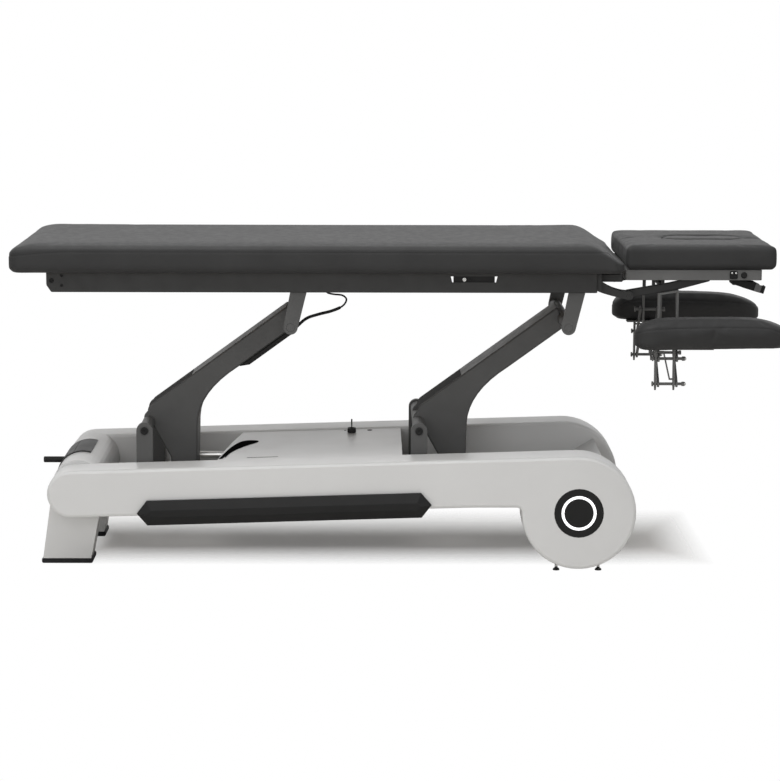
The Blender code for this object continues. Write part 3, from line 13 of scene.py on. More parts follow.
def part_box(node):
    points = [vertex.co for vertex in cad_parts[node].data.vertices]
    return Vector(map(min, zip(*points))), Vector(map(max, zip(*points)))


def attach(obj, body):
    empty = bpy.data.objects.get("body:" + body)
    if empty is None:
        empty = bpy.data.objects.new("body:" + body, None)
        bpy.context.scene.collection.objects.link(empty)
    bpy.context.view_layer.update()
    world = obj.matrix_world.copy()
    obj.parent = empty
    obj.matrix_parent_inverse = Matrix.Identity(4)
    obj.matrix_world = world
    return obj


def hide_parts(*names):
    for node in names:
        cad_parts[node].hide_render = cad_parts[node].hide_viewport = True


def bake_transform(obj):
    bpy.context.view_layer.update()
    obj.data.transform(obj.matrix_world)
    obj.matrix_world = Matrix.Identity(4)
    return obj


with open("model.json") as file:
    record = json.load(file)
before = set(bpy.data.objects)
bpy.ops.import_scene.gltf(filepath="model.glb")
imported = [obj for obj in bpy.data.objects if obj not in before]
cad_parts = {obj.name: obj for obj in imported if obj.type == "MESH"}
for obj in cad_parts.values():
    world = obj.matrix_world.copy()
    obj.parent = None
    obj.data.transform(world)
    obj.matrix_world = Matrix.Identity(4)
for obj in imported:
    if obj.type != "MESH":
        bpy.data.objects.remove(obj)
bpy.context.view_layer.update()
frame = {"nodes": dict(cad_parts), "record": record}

bl_info = {
    "name": "Massage Table Dressing",
    "version": (1, 0, 0),
    "blender": (4, 5, 0),
    "location": "View3D > Sidebar > Massage Table",
    "description": "Finishes, upholstery, seams, lead and small fittings for a massage table",
    "category": "Object",
}

SIDES = (("near", -1), ("far", 1))
FEET_BLACK = (0.012, 0.012, 0.012)
FEET_END = (0.0094, 0.0100)
# painted shade: near-black for the shade inside the centre cover's slot, slit and holes
HOLLOW_SHADE = (0.006, 0.006, 0.006)
RUBBER_BLACK = (0.016, 0.016, 0.017)
FILLING_FRAMES = 20


# Settings

class TableColours(bpy.types.PropertyGroup):
    """Colours of the table's finishes."""
    shell: FloatVectorProperty(
        name="Moulded base", description="Light grey of the moulded base", subtype="COLOR",
        size=3, min=0, max=1, default=(0.660, 0.660, 0.655))
    frame_steel: FloatVectorProperty(
        name="Frame steel", description="Dark powder coat of the top frame",
        subtype="COLOR", size=3, min=0, max=1, default=(0.024, 0.024, 0.0237))
    arm_steel: FloatVectorProperty(
        name="Arm steel", description="Powder coat of the lift arms, posts and hangers",
        subtype="COLOR", size=3, min=0, max=1, default=(0.083, 0.083, 0.082))
    headrest_steel: FloatVectorProperty(
        name="Headrest steel", description="Paler powder coat of the headrest's frame and links",
        subtype="COLOR", size=3, min=0, max=1, default=(0.126, 0.126, 0.124))
    hide: FloatVectorProperty(
        name="Upholstery", description="Dark grey of the upholstery", subtype="COLOR",
        size=3, min=0, max=1, default=(0.039, 0.039, 0.0392))
    thread: FloatVectorProperty(
        name="Thread", description="Colour of the stitching", subtype="COLOR",
        size=3, min=0, max=1, default=(0.050, 0.050, 0.051))
    black: FloatVectorProperty(
        name="Black mouldings", description="Foot bars, lamp discs and small fittings",
        subtype="COLOR", size=3, min=0, max=1, default=(0.015, 0.015, 0.015))
    bright: FloatVectorProperty(
        name="Bright steel", description="Turned and plated steel", subtype="COLOR",
        size=3, min=0, max=1, default=(0.56, 0.56, 0.55))


class TableSizes(bpy.types.PropertyGroup):
    """Sizes of the upholstery and the fittings."""
    swell: FloatProperty(
        name="Swell", description="How far a pad may bulge from its cut shape",
        unit="LENGTH", default=0.006, min=0, max=0.03)
    seam_depth: FloatProperty(
        name="Seam depth", description="Depth of the valley along a seam", unit="LENGTH",
        default=0.0011, min=0, max=0.01)
    stitch_length: FloatProperty(
        name="Stitch length", description="Length of one stitch", unit="LENGTH",
        default=0.0042, min=0.001, max=0.02)
    stitch_offset: FloatProperty(
        name="Stitch offset", description="From a seam to its row of top stitches",
        unit="LENGTH", default=0.0050, min=0.001, max=0.02)
    thread_radius: FloatProperty(
        name="Thread radius", description="Half of the thread's thickness", unit="LENGTH",
        default=0.0004, min=0.0001, max=0.002)
    rail_bolt: FloatProperty(
        name="Rail bolt", description="Radius of the large bolt in each rail",
        unit="LENGTH", default=0.0065, min=0.002, max=0.02)
    rail_screw: FloatProperty(
        name="Rail screw", description="Radius of the two small screws in each rail",
        unit="LENGTH", default=0.0038, min=0.001, max=0.02)
    lead_radius: FloatProperty(
        name="Lead radius", description="Half of the lead's thickness", unit="LENGTH",
        default=0.0025, min=0.001, max=0.01)
    sleeve_radius: FloatProperty(
        name="Sleeve radius", description="Half of the sleeve's thickness on the lead",
        unit="LENGTH", default=0.0042, min=0.001, max=0.01)


class TableStudio(bpy.types.PropertyGroup):
    """Light and backdrop."""
    overhead: FloatProperty(
        name="Overhead light", description="Power of the large light above", default=78.0,
        min=0, unit="POWER")
    front: FloatProperty(
        name="Front light", description="Power of the large light at the front", default=50.0,
        min=0, unit="POWER")
    ambient: FloatProperty(
        name="Ambient", description="Level of the light from all round", default=0.37, min=0)
    floor: FloatVectorProperty(
        name="Floor", description="Colour of the floor", subtype="COLOR", size=3, min=0,
        max=1, default=(0.80, 0.78, 0.75))
    floor_lift: FloatProperty(
        name="Floor lift", description="How far the floor's shadow is raised for the camera",
        default=0.05, min=0, max=1)


def sizes():
    """The scene's upholstery and fitting sizes."""
    return bpy.context.scene.table_sizes


def colours():
    """The scene's finish colours."""
    return bpy.context.scene.table_colours


# Materials

def new_material(name):
    """A new material with one Principled shader; gives the material, its tree and the shader."""
    mat = bpy.data.materials.new(name)
    mat.use_nodes = True
    tree = mat.node_tree
    for node in list(tree.nodes):
        tree.nodes.remove(node)
    out = tree.nodes.new("ShaderNodeOutputMaterial")
    shader = tree.nodes.new("ShaderNodeBsdfPrincipled")
    tree.links.new(shader.outputs["BSDF"], out.inputs["Surface"])
    return mat, tree, shader


def place_nodes(tree):
    """The object's own coordinates, which every pattern is laid on."""
    coords = tree.nodes.new("ShaderNodeTexCoord")
    return coords.outputs["Object"]


def noise(tree, where, scale, detail=3.0, roughness=0.55):
    """A noise pattern, from 0 to 1."""
    node = tree.nodes.new("ShaderNodeTexNoise")
    node.inputs["Scale"].default_value = scale
    node.inputs["Detail"].default_value = detail
    node.inputs["Roughness"].default_value = roughness
    tree.links.new(where, node.inputs["Vector"])
    return node.outputs["Fac"]


def remap(tree, value, low, high, from_low=0.3, from_high=0.7):
    """Maps a value from one range to another; the first range is where noise mostly lies."""
    node = tree.nodes.new("ShaderNodeMapRange")
    node.inputs["From Min"].default_value = from_low
    node.inputs["From Max"].default_value = from_high
    node.inputs["To Min"].default_value = low
    node.inputs["To Max"].default_value = high
    tree.links.new(value, node.inputs["Value"])
    return node.outputs["Result"]


def worked(tree, operation, first, second):
    """A math node on two values, each an output of another node or a number."""
    node = tree.nodes.new("ShaderNodeMath")
    node.operation = operation
    for socket, value in zip(node.inputs, (first, second)):
        if isinstance(value, (int, float)):
            socket.default_value = value
        else:
            tree.links.new(value, socket)
    return node


def tinted(tree, factor, dark, light):
    """A colour between dark and light."""
    node = tree.nodes.new("ShaderNodeMix")
    node.data_type = "RGBA"
    node.inputs["A"].default_value = (*dark, 1)
    node.inputs["B"].default_value = (*light, 1)
    tree.links.new(factor, node.inputs["Factor"])
    return node.outputs["Result"]


def bumped(tree, shader, heights, distance):
    """Chains bump nodes: heights are (value, strength) pairs."""
    last = None
    for value, strength in heights:
        node = tree.nodes.new("ShaderNodeBump")
        node.inputs["Strength"].default_value = strength
        node.inputs["Distance"].default_value = distance
        tree.links.new(value, node.inputs["Height"])
        if last is not None:
            tree.links.new(last, node.inputs["Normal"])
        last = node.outputs["Normal"]
    tree.links.new(last, shader.inputs["Normal"])


def scaled(colour, factor):
    """The colour made darker or lighter."""
    return tuple(min(1.0, c * factor) for c in colour)


def upholstery(name, colour):
    """Coated cloth with a fine pebbled grain, faint creases and a soft sheen."""
    mat, tree, shader = new_material(name)
    where = place_nodes(tree)
    cells = tree.nodes.new("ShaderNodeTexVoronoi")
    cells.feature = "DISTANCE_TO_EDGE"
    cells.inputs["Scale"].default_value = 620
    warp = tree.nodes.new("ShaderNodeVectorMath")
    warp.operation = "ADD"
    jitter = tree.nodes.new("ShaderNodeTexNoise")
    jitter.inputs["Scale"].default_value = 240
    tree.links.new(where, jitter.inputs["Vector"])
    small = tree.nodes.new("ShaderNodeVectorMath")
    small.operation = "SCALE"
    small.inputs["Scale"].default_value = 0.0012
    tree.links.new(jitter.outputs["Color"], small.inputs[0])
    tree.links.new(where, warp.inputs[0])
    tree.links.new(small.outputs["Vector"], warp.inputs[1])
    tree.links.new(warp.outputs["Vector"], cells.inputs["Vector"])
    pebble = remap(tree, cells.outputs["Distance"], 0, 1, 0.0, 0.25)
    mottle = remap(tree, noise(tree, where, 7, 4), 0, 1)
    creases = noise(tree, where, 26, 5, 0.6)
    colour_out = tinted(tree, mottle, scaled(colour, 0.90), scaled(colour, 1.10))
    tree.links.new(colour_out, shader.inputs["Base Color"])
    tree.links.new(remap(tree, noise(tree, where, 55, 4), 0.47, 0.57), shader.inputs["Roughness"])
    shader.inputs["Specular IOR Level"].default_value = 0.12
    shader.inputs["Sheen Weight"].default_value = 0.02
    shader.inputs["Sheen Roughness"].default_value = 0.4
    bumped(tree, shader, ((creases, 0.05), (pebble, 0.12)), 0.0006)
    return mat


def powder_coat(name, colour, roughness=0.52, specular=0.35, grain=1400.0):
    """Paint with a fine orange peel, slightly paler and smoother in patches."""
    mat, tree, shader = new_material(name)
    where = place_nodes(tree)
    colour_out = tinted(tree, remap(tree, noise(tree, where, 9, 5), 0, 1),
                        scaled(colour, 0.92), scaled(colour, 1.08))
    tree.links.new(colour_out, shader.inputs["Base Color"])
    tree.links.new(remap(tree, noise(tree, where, 30, 4), roughness - 0.05, roughness + 0.06),
                   shader.inputs["Roughness"])
    shader.inputs["Specular IOR Level"].default_value = specular
    bumped(tree, shader, ((noise(tree, where, 60, 2), 0.05), (noise(tree, where, grain, 2), 0.10)),
           0.0004)
    return mat


def moulding(name, colour, roughness=0.38):
    """Smooth moulded plastic with a satin lacquer; the levelling feet under it are black."""
    mat, tree, shader = new_material(name)
    where = place_nodes(tree)
    colour_out = tinted(tree, remap(tree, noise(tree, where, 3.5, 4), 0, 1),
                        scaled(colour, 0.97), scaled(colour, 1.02))
    height = tree.nodes.new("ShaderNodeSeparateXYZ")
    tree.links.new(where, height.inputs["Vector"])
    above_feet = remap(tree, height.outputs["Z"], 0, 1, *FEET_END)
    feet = tree.nodes.new("ShaderNodeMix")
    feet.data_type = "RGBA"
    feet.inputs["A"].default_value = (*FEET_BLACK, 1)
    tree.links.new(above_feet, feet.inputs["Factor"])
    tree.links.new(colour_out, feet.inputs["B"])
    tree.links.new(feet.outputs["Result"], shader.inputs["Base Color"])
    tree.links.new(remap(tree, noise(tree, where, 18, 4), roughness - 0.04, roughness + 0.05),
                   shader.inputs["Roughness"])
    shader.inputs["Coat Weight"].default_value = 0.12
    shader.inputs["Coat Roughness"].default_value = 0.25
    bumped(tree, shader, ((noise(tree, where, 9, 2), 0.04), (noise(tree, where, 900, 2), 0.04)),
           0.0004)
    return mat


def bright_steel(name, colour):
    """Turned steel with fine lines round its axis."""
    mat, tree, shader = new_material(name)
    where = place_nodes(tree)
    stretch = tree.nodes.new("ShaderNodeMapping")
    stretch.inputs["Scale"].default_value = (12, 400, 400)
    tree.links.new(where, stretch.inputs["Vector"])
    lines = noise(tree, stretch.outputs["Vector"], 3, 3)
    colour_out = tinted(tree, remap(tree, lines, 0, 1), scaled(colour, 0.88), scaled(colour, 1.08))
    tree.links.new(colour_out, shader.inputs["Base Color"])
    tree.links.new(remap(tree, lines, 0.24, 0.40), shader.inputs["Roughness"])
    shader.inputs["Metallic"].default_value = 1.0
    bumped(tree, shader, ((lines, 0.05),), 0.0002)
    return mat


def rubber(name, colour):
    """Dull rubber or spun thread, slightly uneven in tone."""
    mat, tree, shader = new_material(name)
    where = place_nodes(tree)
    colour_out = tinted(tree, remap(tree, noise(tree, where, 40, 4), 0, 1),
                        scaled(colour, 0.8), scaled(colour, 1.3))
    tree.links.new(colour_out, shader.inputs["Base Color"])
    tree.links.new(remap(tree, noise(tree, where, 90, 3), 0.62, 0.78), shader.inputs["Roughness"])
    shader.inputs["Specular IOR Level"].default_value = 0.2
    bumped(tree, shader, ((noise(tree, where, 700, 2), 0.15),), 0.0004)
    return mat


def plywood(name):
    """Board with its layers showing at the edge."""
    mat, tree, shader = new_material(name)
    where = place_nodes(tree)
    wave = tree.nodes.new("ShaderNodeTexWave")
    wave.inputs["Scale"].default_value = 60
    wave.inputs["Distortion"].default_value = 3
    wave.bands_direction = "Z"
    tree.links.new(where, wave.inputs["Vector"])
    colour_out = tinted(tree, wave.outputs["Fac"], (0.28, 0.19, 0.11), (0.40, 0.28, 0.17))
    tree.links.new(colour_out, shader.inputs["Base Color"])
    shader.inputs["Roughness"].default_value = 0.7
    return mat


def light_ring(name):
    """A white diffuser, lit from behind."""
    mat, tree, shader = new_material(name)
    where = place_nodes(tree)
    glow = tinted(tree, remap(tree, noise(tree, where, 60, 2), 0, 1), (0.95, 0.96, 1.0), (1, 1, 1))
    tree.links.new(glow, shader.inputs["Base Color"])
    tree.links.new(glow, shader.inputs["Emission Color"])
    shader.inputs["Emission Strength"].default_value = 0.9
    shader.inputs["Roughness"].default_value = 0.35
    return mat


FINISHES = {}


def make_finishes():
    """Makes every material once, by the name that the pieces ask for."""
    tone = colours()
    FINISHES.update({
        "shell": moulding("satin light grey moulding", tone.shell),
        "dark_steel": powder_coat("dark powder coat", tone.frame_steel),
        "arm_steel": powder_coat("graphite powder coat", tone.arm_steel),
        "grey_steel": powder_coat("grey powder coat", tone.headrest_steel, 0.48),
        "bright_steel": bright_steel("turned steel", tone.bright),
        "black_plastic": powder_coat("black moulding", tone.black, 0.50, 0.14, 900.0),
        # painted shade: dull near-black without gloss, for the shade in the centre cover's openings
        "hollow_shade": powder_coat("dark hollow", HOLLOW_SHADE, 0.90, 0.0),
        "rubber": rubber("black rubber", RUBBER_BLACK),
        "upholstery": upholstery("pebbled upholstery", tone.hide),
        "thread": rubber("spun thread", tone.thread),
        "lamp": light_ring("lit diffuser"),
        "board": plywood("plywood"),
    })


def paint(piece, finish):
    """Gives the piece one finish, and its material slot where the piece needs one."""
    piece.data.materials.clear()
    piece.data.materials.append(FINISHES[finish])


# Modelling helpers

def pick(piece):
    """Makes the piece the only selected object, and the active one."""
    bpy.ops.object.select_all(action="DESELECT")
    bpy.context.view_layer.objects.active = piece
    piece.select_set(True)


def settle(piece):
    """Puts the piece's place into its mesh."""
    pick(piece)
    bpy.ops.object.transform_apply(location=True, rotation=True, scale=True)


def apply_all(piece):
    """Applies the piece's modifiers in order."""
    pick(piece)
    for mod in list(piece.modifiers):
        bpy.ops.object.modifier_apply(modifier=mod.name)


def smooth(piece, angle=40):
    """Shades the piece smooth, up to an angle in degrees."""
    pick(piece)
    bpy.ops.object.shade_smooth_by_angle(angle=math.radians(angle))


def copies(master, name, places):
    """One object holding a copy of the master's mesh at each matrix; the master goes."""
    bm = bmesh.new()
    part = bmesh.new()
    part.from_mesh(master.data)
    spare = bpy.data.meshes.new("spare")
    for place in places:
        part.to_mesh(spare)
        spare.transform(place)
        bm.from_mesh(spare)
    mesh = bpy.data.meshes.new(name)
    bm.to_mesh(mesh)
    bm.free()
    part.free()
    bpy.data.meshes.remove(spare)
    bpy.data.objects.remove(master)
    piece = bpy.data.objects.new(name, mesh)
    bpy.context.scene.collection.objects.link(piece)
    return piece


def facing(direction, place):
    """A matrix that turns +Z to the direction and moves to the place."""
    turn = Vector((0, 0, 1)).rotation_difference(Vector(direction)).to_matrix().to_4x4()
    return Matrix.Translation(place) @ turn


def bolt_head(radius, height, socket=0.5):
    """A domed screw head with a hexagonal socket, standing on the origin along +Z."""
    bpy.ops.object.select_all(action="DESELECT")
    bpy.ops.mesh.primitive_cylinder_add(vertices=24, radius=radius, depth=height,
                                        location=(0, 0, height / 2))
    head = bpy.context.object
    settle(head)
    bpy.ops.object.mode_set(mode="EDIT")
    bpy.ops.mesh.select_all(action="DESELECT")
    bm = bmesh.from_edit_mesh(head.data)
    for face in bm.faces:
        face.select = face.normal.z > 0.9
    bmesh.update_edit_mesh(head.data)
    bpy.ops.mesh.inset(thickness=radius * (1 - socket), depth=0)
    bpy.ops.mesh.extrude_region_move(TRANSFORM_OT_translate={"value": (0, 0, -height * 0.55)})
    bpy.ops.object.mode_set(mode="OBJECT")
    mod = head.modifiers.new("round", "BEVEL")
    mod.width = min(radius, height) * 0.28
    mod.segments = 2
    mod.limit_method = "ANGLE"
    mod.angle_limit = math.radians(50)
    apply_all(head)
    smooth(head, 35)
    return head


def line_tube(name, points, radius, closed=False, sides=2):
    """A round line through the points, as a mesh with closed ends."""
    curve = bpy.data.curves.new(name, "CURVE")
    curve.dimensions = "3D"
    curve.bevel_depth = radius
    curve.bevel_resolution = sides
    curve.use_fill_caps = True
    spline = curve.splines.new("POLY")
    spline.points.add(len(points) - 1)
    for point, place in zip(spline.points, points):
        point.co = (*place, 1)
    spline.use_cyclic_u = closed
    holder = bpy.data.objects.new(name + "_line", curve)
    bpy.context.scene.collection.objects.link(holder)
    pick(holder)
    bpy.ops.object.convert(target="MESH")
    tube = bpy.context.object
    bpy.ops.object.mode_set(mode="EDIT")
    bpy.ops.mesh.select_all(action="SELECT")
    bpy.ops.mesh.remove_doubles(threshold=0.00002)
    bpy.ops.object.mode_set(mode="OBJECT")
    tube.name = name
    smooth(tube, 60)
    return tube


# Upholstery

def read_points(mesh):
    """The mesh's points as rows of an array."""
    places = np.empty(len(mesh.vertices) * 3)
    mesh.vertices.foreach_get("co", places)
    return places.reshape(-1, 3)


def read_normals(mesh):
    """The normals of the mesh's points as rows of an array."""
    normals = np.empty(len(mesh.vertices) * 3)
    mesh.vertex_normals.foreach_get("vector", normals)
    return normals.reshape(-1, 3)


def write_points(mesh, places):
    """Moves the mesh's points to the rows of the array."""
    mesh.vertices.foreach_set("co", places.reshape(-1))
    mesh.update()


def fitted(places, low, high):
    """Scales the points along each axis to span the box."""
    least = places.min(axis=0)
    most = places.max(axis=0)
    return np.array(low) + (places - least) * (np.array(high) - np.array(low)) / (most - least)


def blank(low, high, corner, edge):
    """A block of foam with round corners and edges, before it is shaped."""
    bpy.ops.object.select_all(action="DESELECT")
    bpy.ops.mesh.primitive_cube_add(size=1, location=[(a + b) / 2 for a, b in zip(low, high)])
    block = bpy.context.object
    block.scale = [b - a for a, b in zip(low, high)]
    settle(block)
    bpy.ops.object.mode_set(mode="EDIT")
    bpy.ops.mesh.select_mode(type="EDGE")
    bpy.ops.mesh.select_all(action="DESELECT")
    bm = bmesh.from_edit_mesh(block.data)
    for side in bm.edges:
        ends = side.verts[0].co - side.verts[1].co
        side.select = abs(ends.z) > 0.9 * ends.length
    bmesh.update_edit_mesh(block.data)
    bpy.ops.mesh.bevel(offset=corner, segments=6)
    bpy.ops.object.mode_set(mode="OBJECT")
    mod = block.modifiers.new("round", "BEVEL")
    mod.width = edge
    mod.segments = 4
    mod.limit_method = "ANGLE"
    mod.angle_limit = math.radians(60)
    apply_all(block)
    return block


def cad_copy(node):
    """A welded copy of a CAD pad."""
    pad = bpy.data.objects.new(node, frame["nodes"][node].data.copy())
    bpy.context.scene.collection.objects.link(pad)
    pick(pad)
    bpy.ops.object.mode_set(mode="EDIT")
    bpy.ops.mesh.select_all(action="SELECT")
    bpy.ops.mesh.remove_doubles(threshold=0.00005)
    bpy.ops.object.mode_set(mode="OBJECT")
    return pad


def filled(node, name, voxel, take_in, cap, shape=None, foam=None):
    """A stuffed pad in a CAD pad's place: remeshed, shaped, blown up as cloth, subdivided.

    Its skin starts inside the shape by take_in and may move by cap; its base stays flat.
    """
    base_band = 0.001
    low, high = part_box(node)
    pad = foam or cad_copy(node)
    pad.name = name
    pick(pad)
    pad.data.remesh_voxel_size = voxel
    bpy.ops.object.voxel_remesh()
    if shape is not None:
        write_points(pad.data, shape(read_points(pad.data)))
    before = read_points(pad.data)
    base = before[:, 2].min()
    outward = read_normals(pad.data)
    before -= outward * take_in
    write_points(pad.data, before)
    mod = pad.modifiers.new("filling", "CLOTH")
    mod.settings.quality = 5
    mod.settings.use_pressure = True
    mod.settings.uniform_pressure_force = 4
    mod.settings.effector_weights.gravity = 0
    mod.point_cache.frame_end = FILLING_FRAMES
    scene = bpy.context.scene
    for step in range(1, FILLING_FRAMES + 1):
        scene.frame_set(step)
    shown = pad.evaluated_get(bpy.context.evaluated_depsgraph_get())
    after = read_points(shown.to_mesh())
    shown.to_mesh_clear()
    pad.modifiers.remove(mod)
    scene.frame_set(1)
    move = after - before
    reach = np.linalg.norm(move, axis=1, keepdims=True)
    move *= np.minimum(1.0, cap / np.maximum(reach, 1e-9))
    after = before + move
    after[before[:, 2] < base + take_in + base_band, 2] = base
    write_points(pad.data, after)
    mod = pad.modifiers.new("even", "SMOOTH")
    mod.factor = 0.5
    mod.iterations = 4
    apply_all(pad)
    write_points(pad.data, fitted(read_points(pad.data), low, high))
    mod = pad.modifiers.new("finer", "SUBSURF")
    mod.levels = 1
    mod.render_levels = 1
    apply_all(pad)
    pick(pad)
    bpy.ops.object.shade_smooth()
    return pad


def surface_of(piece):
    """The piece's surface, ready for rays."""
    bm = bmesh.new()
    bm.from_mesh(piece.data)
    tree = BVHTree.FromBMesh(bm)
    bm.free()
    return tree


def laid_on(piece, points, origin_of):
    """Projects points onto the piece, each looked at from outside; gives (place, normal)."""
    tree = surface_of(piece)
    found = []
    for point in points:
        start = origin_of(point)
        aim = point - start
        hit, normal, _, _ = tree.ray_cast(start, aim.normalized(), aim.length * 3)
        if hit is None:
            hit, normal, _, _ = tree.find_nearest(point)
        found.append((hit, normal))
    return found


def even(points, step, closed=True):
    """The same line, with points a step apart."""
    line = list(points) + ([points[0]] if closed else [])
    total = sum((b - a).length for a, b in zip(line, line[1:]))
    count = max(4, int(round(total / step)))
    spacing = total / count
    out = []
    travelled = 0.0
    target = 0.0
    for a, b in zip(line, line[1:]):
        length = (b - a).length
        while target <= travelled + length and len(out) < count + (0 if closed else 1):
            share = (target - travelled) / length if length else 0
            out.append(a.lerp(b, share))
            target += spacing
        travelled += length
    return out


def press_seam(piece, line, width, depth):
    """Pulls the surface in along the seam."""
    tree = KDTree(len(line))
    for i, place in enumerate(line):
        tree.insert(place, i)
    tree.balance()
    places = read_points(piece.data)
    outward = read_normals(piece.data)
    for i, place in enumerate(places):
        away = tree.find(place)[2]
        if away < width:
            places[i] -= outward[i] * depth * (0.5 + 0.5 * math.cos(math.pi * away / width))
    write_points(piece.data, places)


def sew(piece, line, prefix, body, offsets, origin_of, closed=True):
    """A pressed seam, a thin black line laid in its valley as painted shade, and rows of top
    stitches.
    """
    size = sizes()
    track_step = 0.004
    valley_width = 0.0055
    track = even(line, track_step, closed)
    placed = laid_on(piece, track, origin_of)
    press_seam(piece, [p for p, _ in placed], valley_width, size.seam_depth)
    placed = laid_on(piece, track, origin_of)
    # painted shade: a thin black line along the seam's valley, darker than the cover and its thread
    seam_shade_line = line_tube(prefix + "_welt", [p for p, _ in placed], size.thread_radius, closed, 1)
    paint(seam_shade_line, "black_plastic")
    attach(seam_shade_line, body)
    bpy.ops.object.select_all(action="DESELECT")
    bpy.ops.mesh.primitive_uv_sphere_add(segments=6, ring_count=4, radius=1)
    stitch = bpy.context.object
    stitch.scale = (size.stitch_length / 2, size.thread_radius, size.thread_radius)
    settle(stitch)
    bpy.ops.object.shade_smooth()
    places = []
    for offset in offsets:
        moved = [p + Vector((0, 0, offset)) for p in even(line, size.stitch_length * 1.45, closed)]
        rows = laid_on(piece, moved, origin_of)
        skipped = 0 if closed else 1
        for i in range(skipped, len(rows) - skipped):
            p, n = rows[i]
            along = (rows[(i + 1) % len(rows)][0] - rows[i - 1][0]).normalized()
            side = n.cross(along).normalized()
            turn = Matrix((along, side, n)).transposed().to_4x4()
            places.append(Matrix.Translation(p + n * size.thread_radius * 0.3) @ turn)
    thread = copies(stitch, prefix + "_stitches", places)
    paint(thread, "thread")
    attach(thread, body)


def around(low, high, inset, height_at, step):
    """A closed rounded ring of points round a box, at a height that may change along it."""
    corners = ((high[0] - inset, low[1] + inset, -90), (high[0] - inset, high[1] - inset, 0),
               (low[0] + inset, high[1] - inset, 90), (low[0] + inset, low[1] + inset, 180))
    parts = 8
    points = []
    for x, y, start in corners:
        for i in range(parts + 1):
            angle = math.radians(start + i * 90 / parts)
            points.append(Vector((x + inset * math.cos(angle), y + inset * math.sin(angle), 0)))
    ring = even(points, step)
    for p in ring:
        p.z = height_at(p.x)
    return ring


class TABLE_OT_finish_frame(bpy.types.Operator):
    """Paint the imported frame's own parts"""
    bl_idname = "table.finish_frame"
    bl_label = "Finish the Frame"

    def execute(self, context):
        make_finishes()
        slots = {entry["node"]: entry["material_slot"] for entry in frame["record"]["subparts"]}
        special = (("lift_arm", "arm_steel"), ("pivot_stand", "arm_steel"), ("hanger", "arm_steel"),
                   ("hood_panel", "dark_steel"), ("arm_bracket", "grey_steel"),
                   ("lock_screw", "black_plastic"))
        for node, piece in frame["nodes"].items():
            finish = slots[node]
            for start, other in special:
                if node.startswith(start):
                    finish = other
            paint(piece, finish)
        return {"FINISHED"}


class TABLE_OT_main_cushion(bpy.types.Operator):
    """Stuff and sew the long cushion"""
    bl_idname = "table.main_cushion"
    bl_label = "Main Cushion"

    def execute(self, context):
        low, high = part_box("main_cushion")
        height = high[2] - low[2]
        foot_round = 0.075
        foot_drop = 0.018
        head_round = 0.102
        head_drop = 0.046

        def shape(places):
            turn = np.clip(1 - (places[:, 0] - low[0]) / foot_round, 0, 1)
            drop = foot_drop * (1 - np.sqrt(np.clip(1 - turn ** 2, 0, 1)))
            turn = np.clip((high[0] - places[:, 0]) / head_round, 0, 1)
            drop += head_drop * (0.5 + 0.5 * np.cos(math.pi * turn)) ** 1.15
            places[:, 2] = low[2] + (places[:, 2] - low[2]) * (1 - drop / height)
            return places

        foam = blank(low, high, 0.034, 0.018)
        cushion = filled("main_cushion", "cushion_cover", 0.009, 0.003, sizes().swell, shape, foam)
        paint(cushion, "upholstery")

        seam = high[2] - 0.020
        seam_foot = low[2] + 0.003
        foot_dip = 0.012
        foot_dip_length = 0.16
        head_turn = high[0] - 0.062
        head_turn_length = 0.042

        def seam_height(x):
            dip = foot_dip * max(0.0, (low[0] + foot_dip_length - x) / foot_dip_length) ** 1.6
            over = min(1.0, max(0.0, (x - head_turn) / head_turn_length))
            return seam - dip - (seam - seam_foot) * (1 - math.sqrt(1 - over * over))

        corner = 0.030
        plan = []
        for angle in range(90, -1, -6):
            over = head_turn_length * math.sin(math.radians(angle))
            plan.append(Vector((head_turn + over, low[1], 0)))
        for angle in range(270, 179, -10):
            plan.append(Vector((low[0] + corner + corner * math.cos(math.radians(angle)),
                                low[1] + corner + corner * math.sin(math.radians(angle)), 0)))
        middle = [Vector((head_turn + (low[0] + corner - head_turn) * i / 40, low[1], 0))
                  for i in range(1, 40)]
        plan[16:16] = middle
        plan += [Vector((p.x, low[1] + high[1] - p.y, 0)) for p in reversed(plan)]
        for p in plan:
            p.z = seam_height(p.x)

        def outside(p):
            inner_x = max(low[0] + 0.2, min(high[0] - 0.04, p.x))
            return p + Vector((p.x - inner_x, p.y, 0)).normalized() * 0.2

        sew(cushion, plan, "cushion", "top_frame", (-sizes().stitch_offset,), outside, False)
        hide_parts("main_cushion")
        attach(cushion, "top_frame")
        return {"FINISHED"}


class TABLE_OT_headrest_cushion(bpy.types.Operator):
    """Stuff the headrest's cushion and its face plug"""
    bl_idname = "table.headrest_cushion"
    bl_label = "Headrest Cushion"

    def execute(self, context):
        cushion = filled("headrest_cushion", "headrest_cover", 0.005, 0.003, 0.0045)
        outer_swell = 0.009
        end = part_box("headrest_cushion")[1][0]
        slot_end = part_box("face_plug")[1][0] + 0.004
        places = read_points(cushion.data)
        places[:, 0] += outer_swell * np.clip((places[:, 0] - slot_end) / (end - slot_end), 0, 1)
        write_points(cushion.data, places)
        paint(cushion, "upholstery")
        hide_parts("headrest_cushion")
        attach(cushion, "headrest")
        plug = filled("face_plug", "face_plug_cover", 0.004, 0.0035, 0.0030)
        paint(plug, "upholstery")
        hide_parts("face_plug")
        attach(plug, "face_plug")
        return {"FINISHED"}


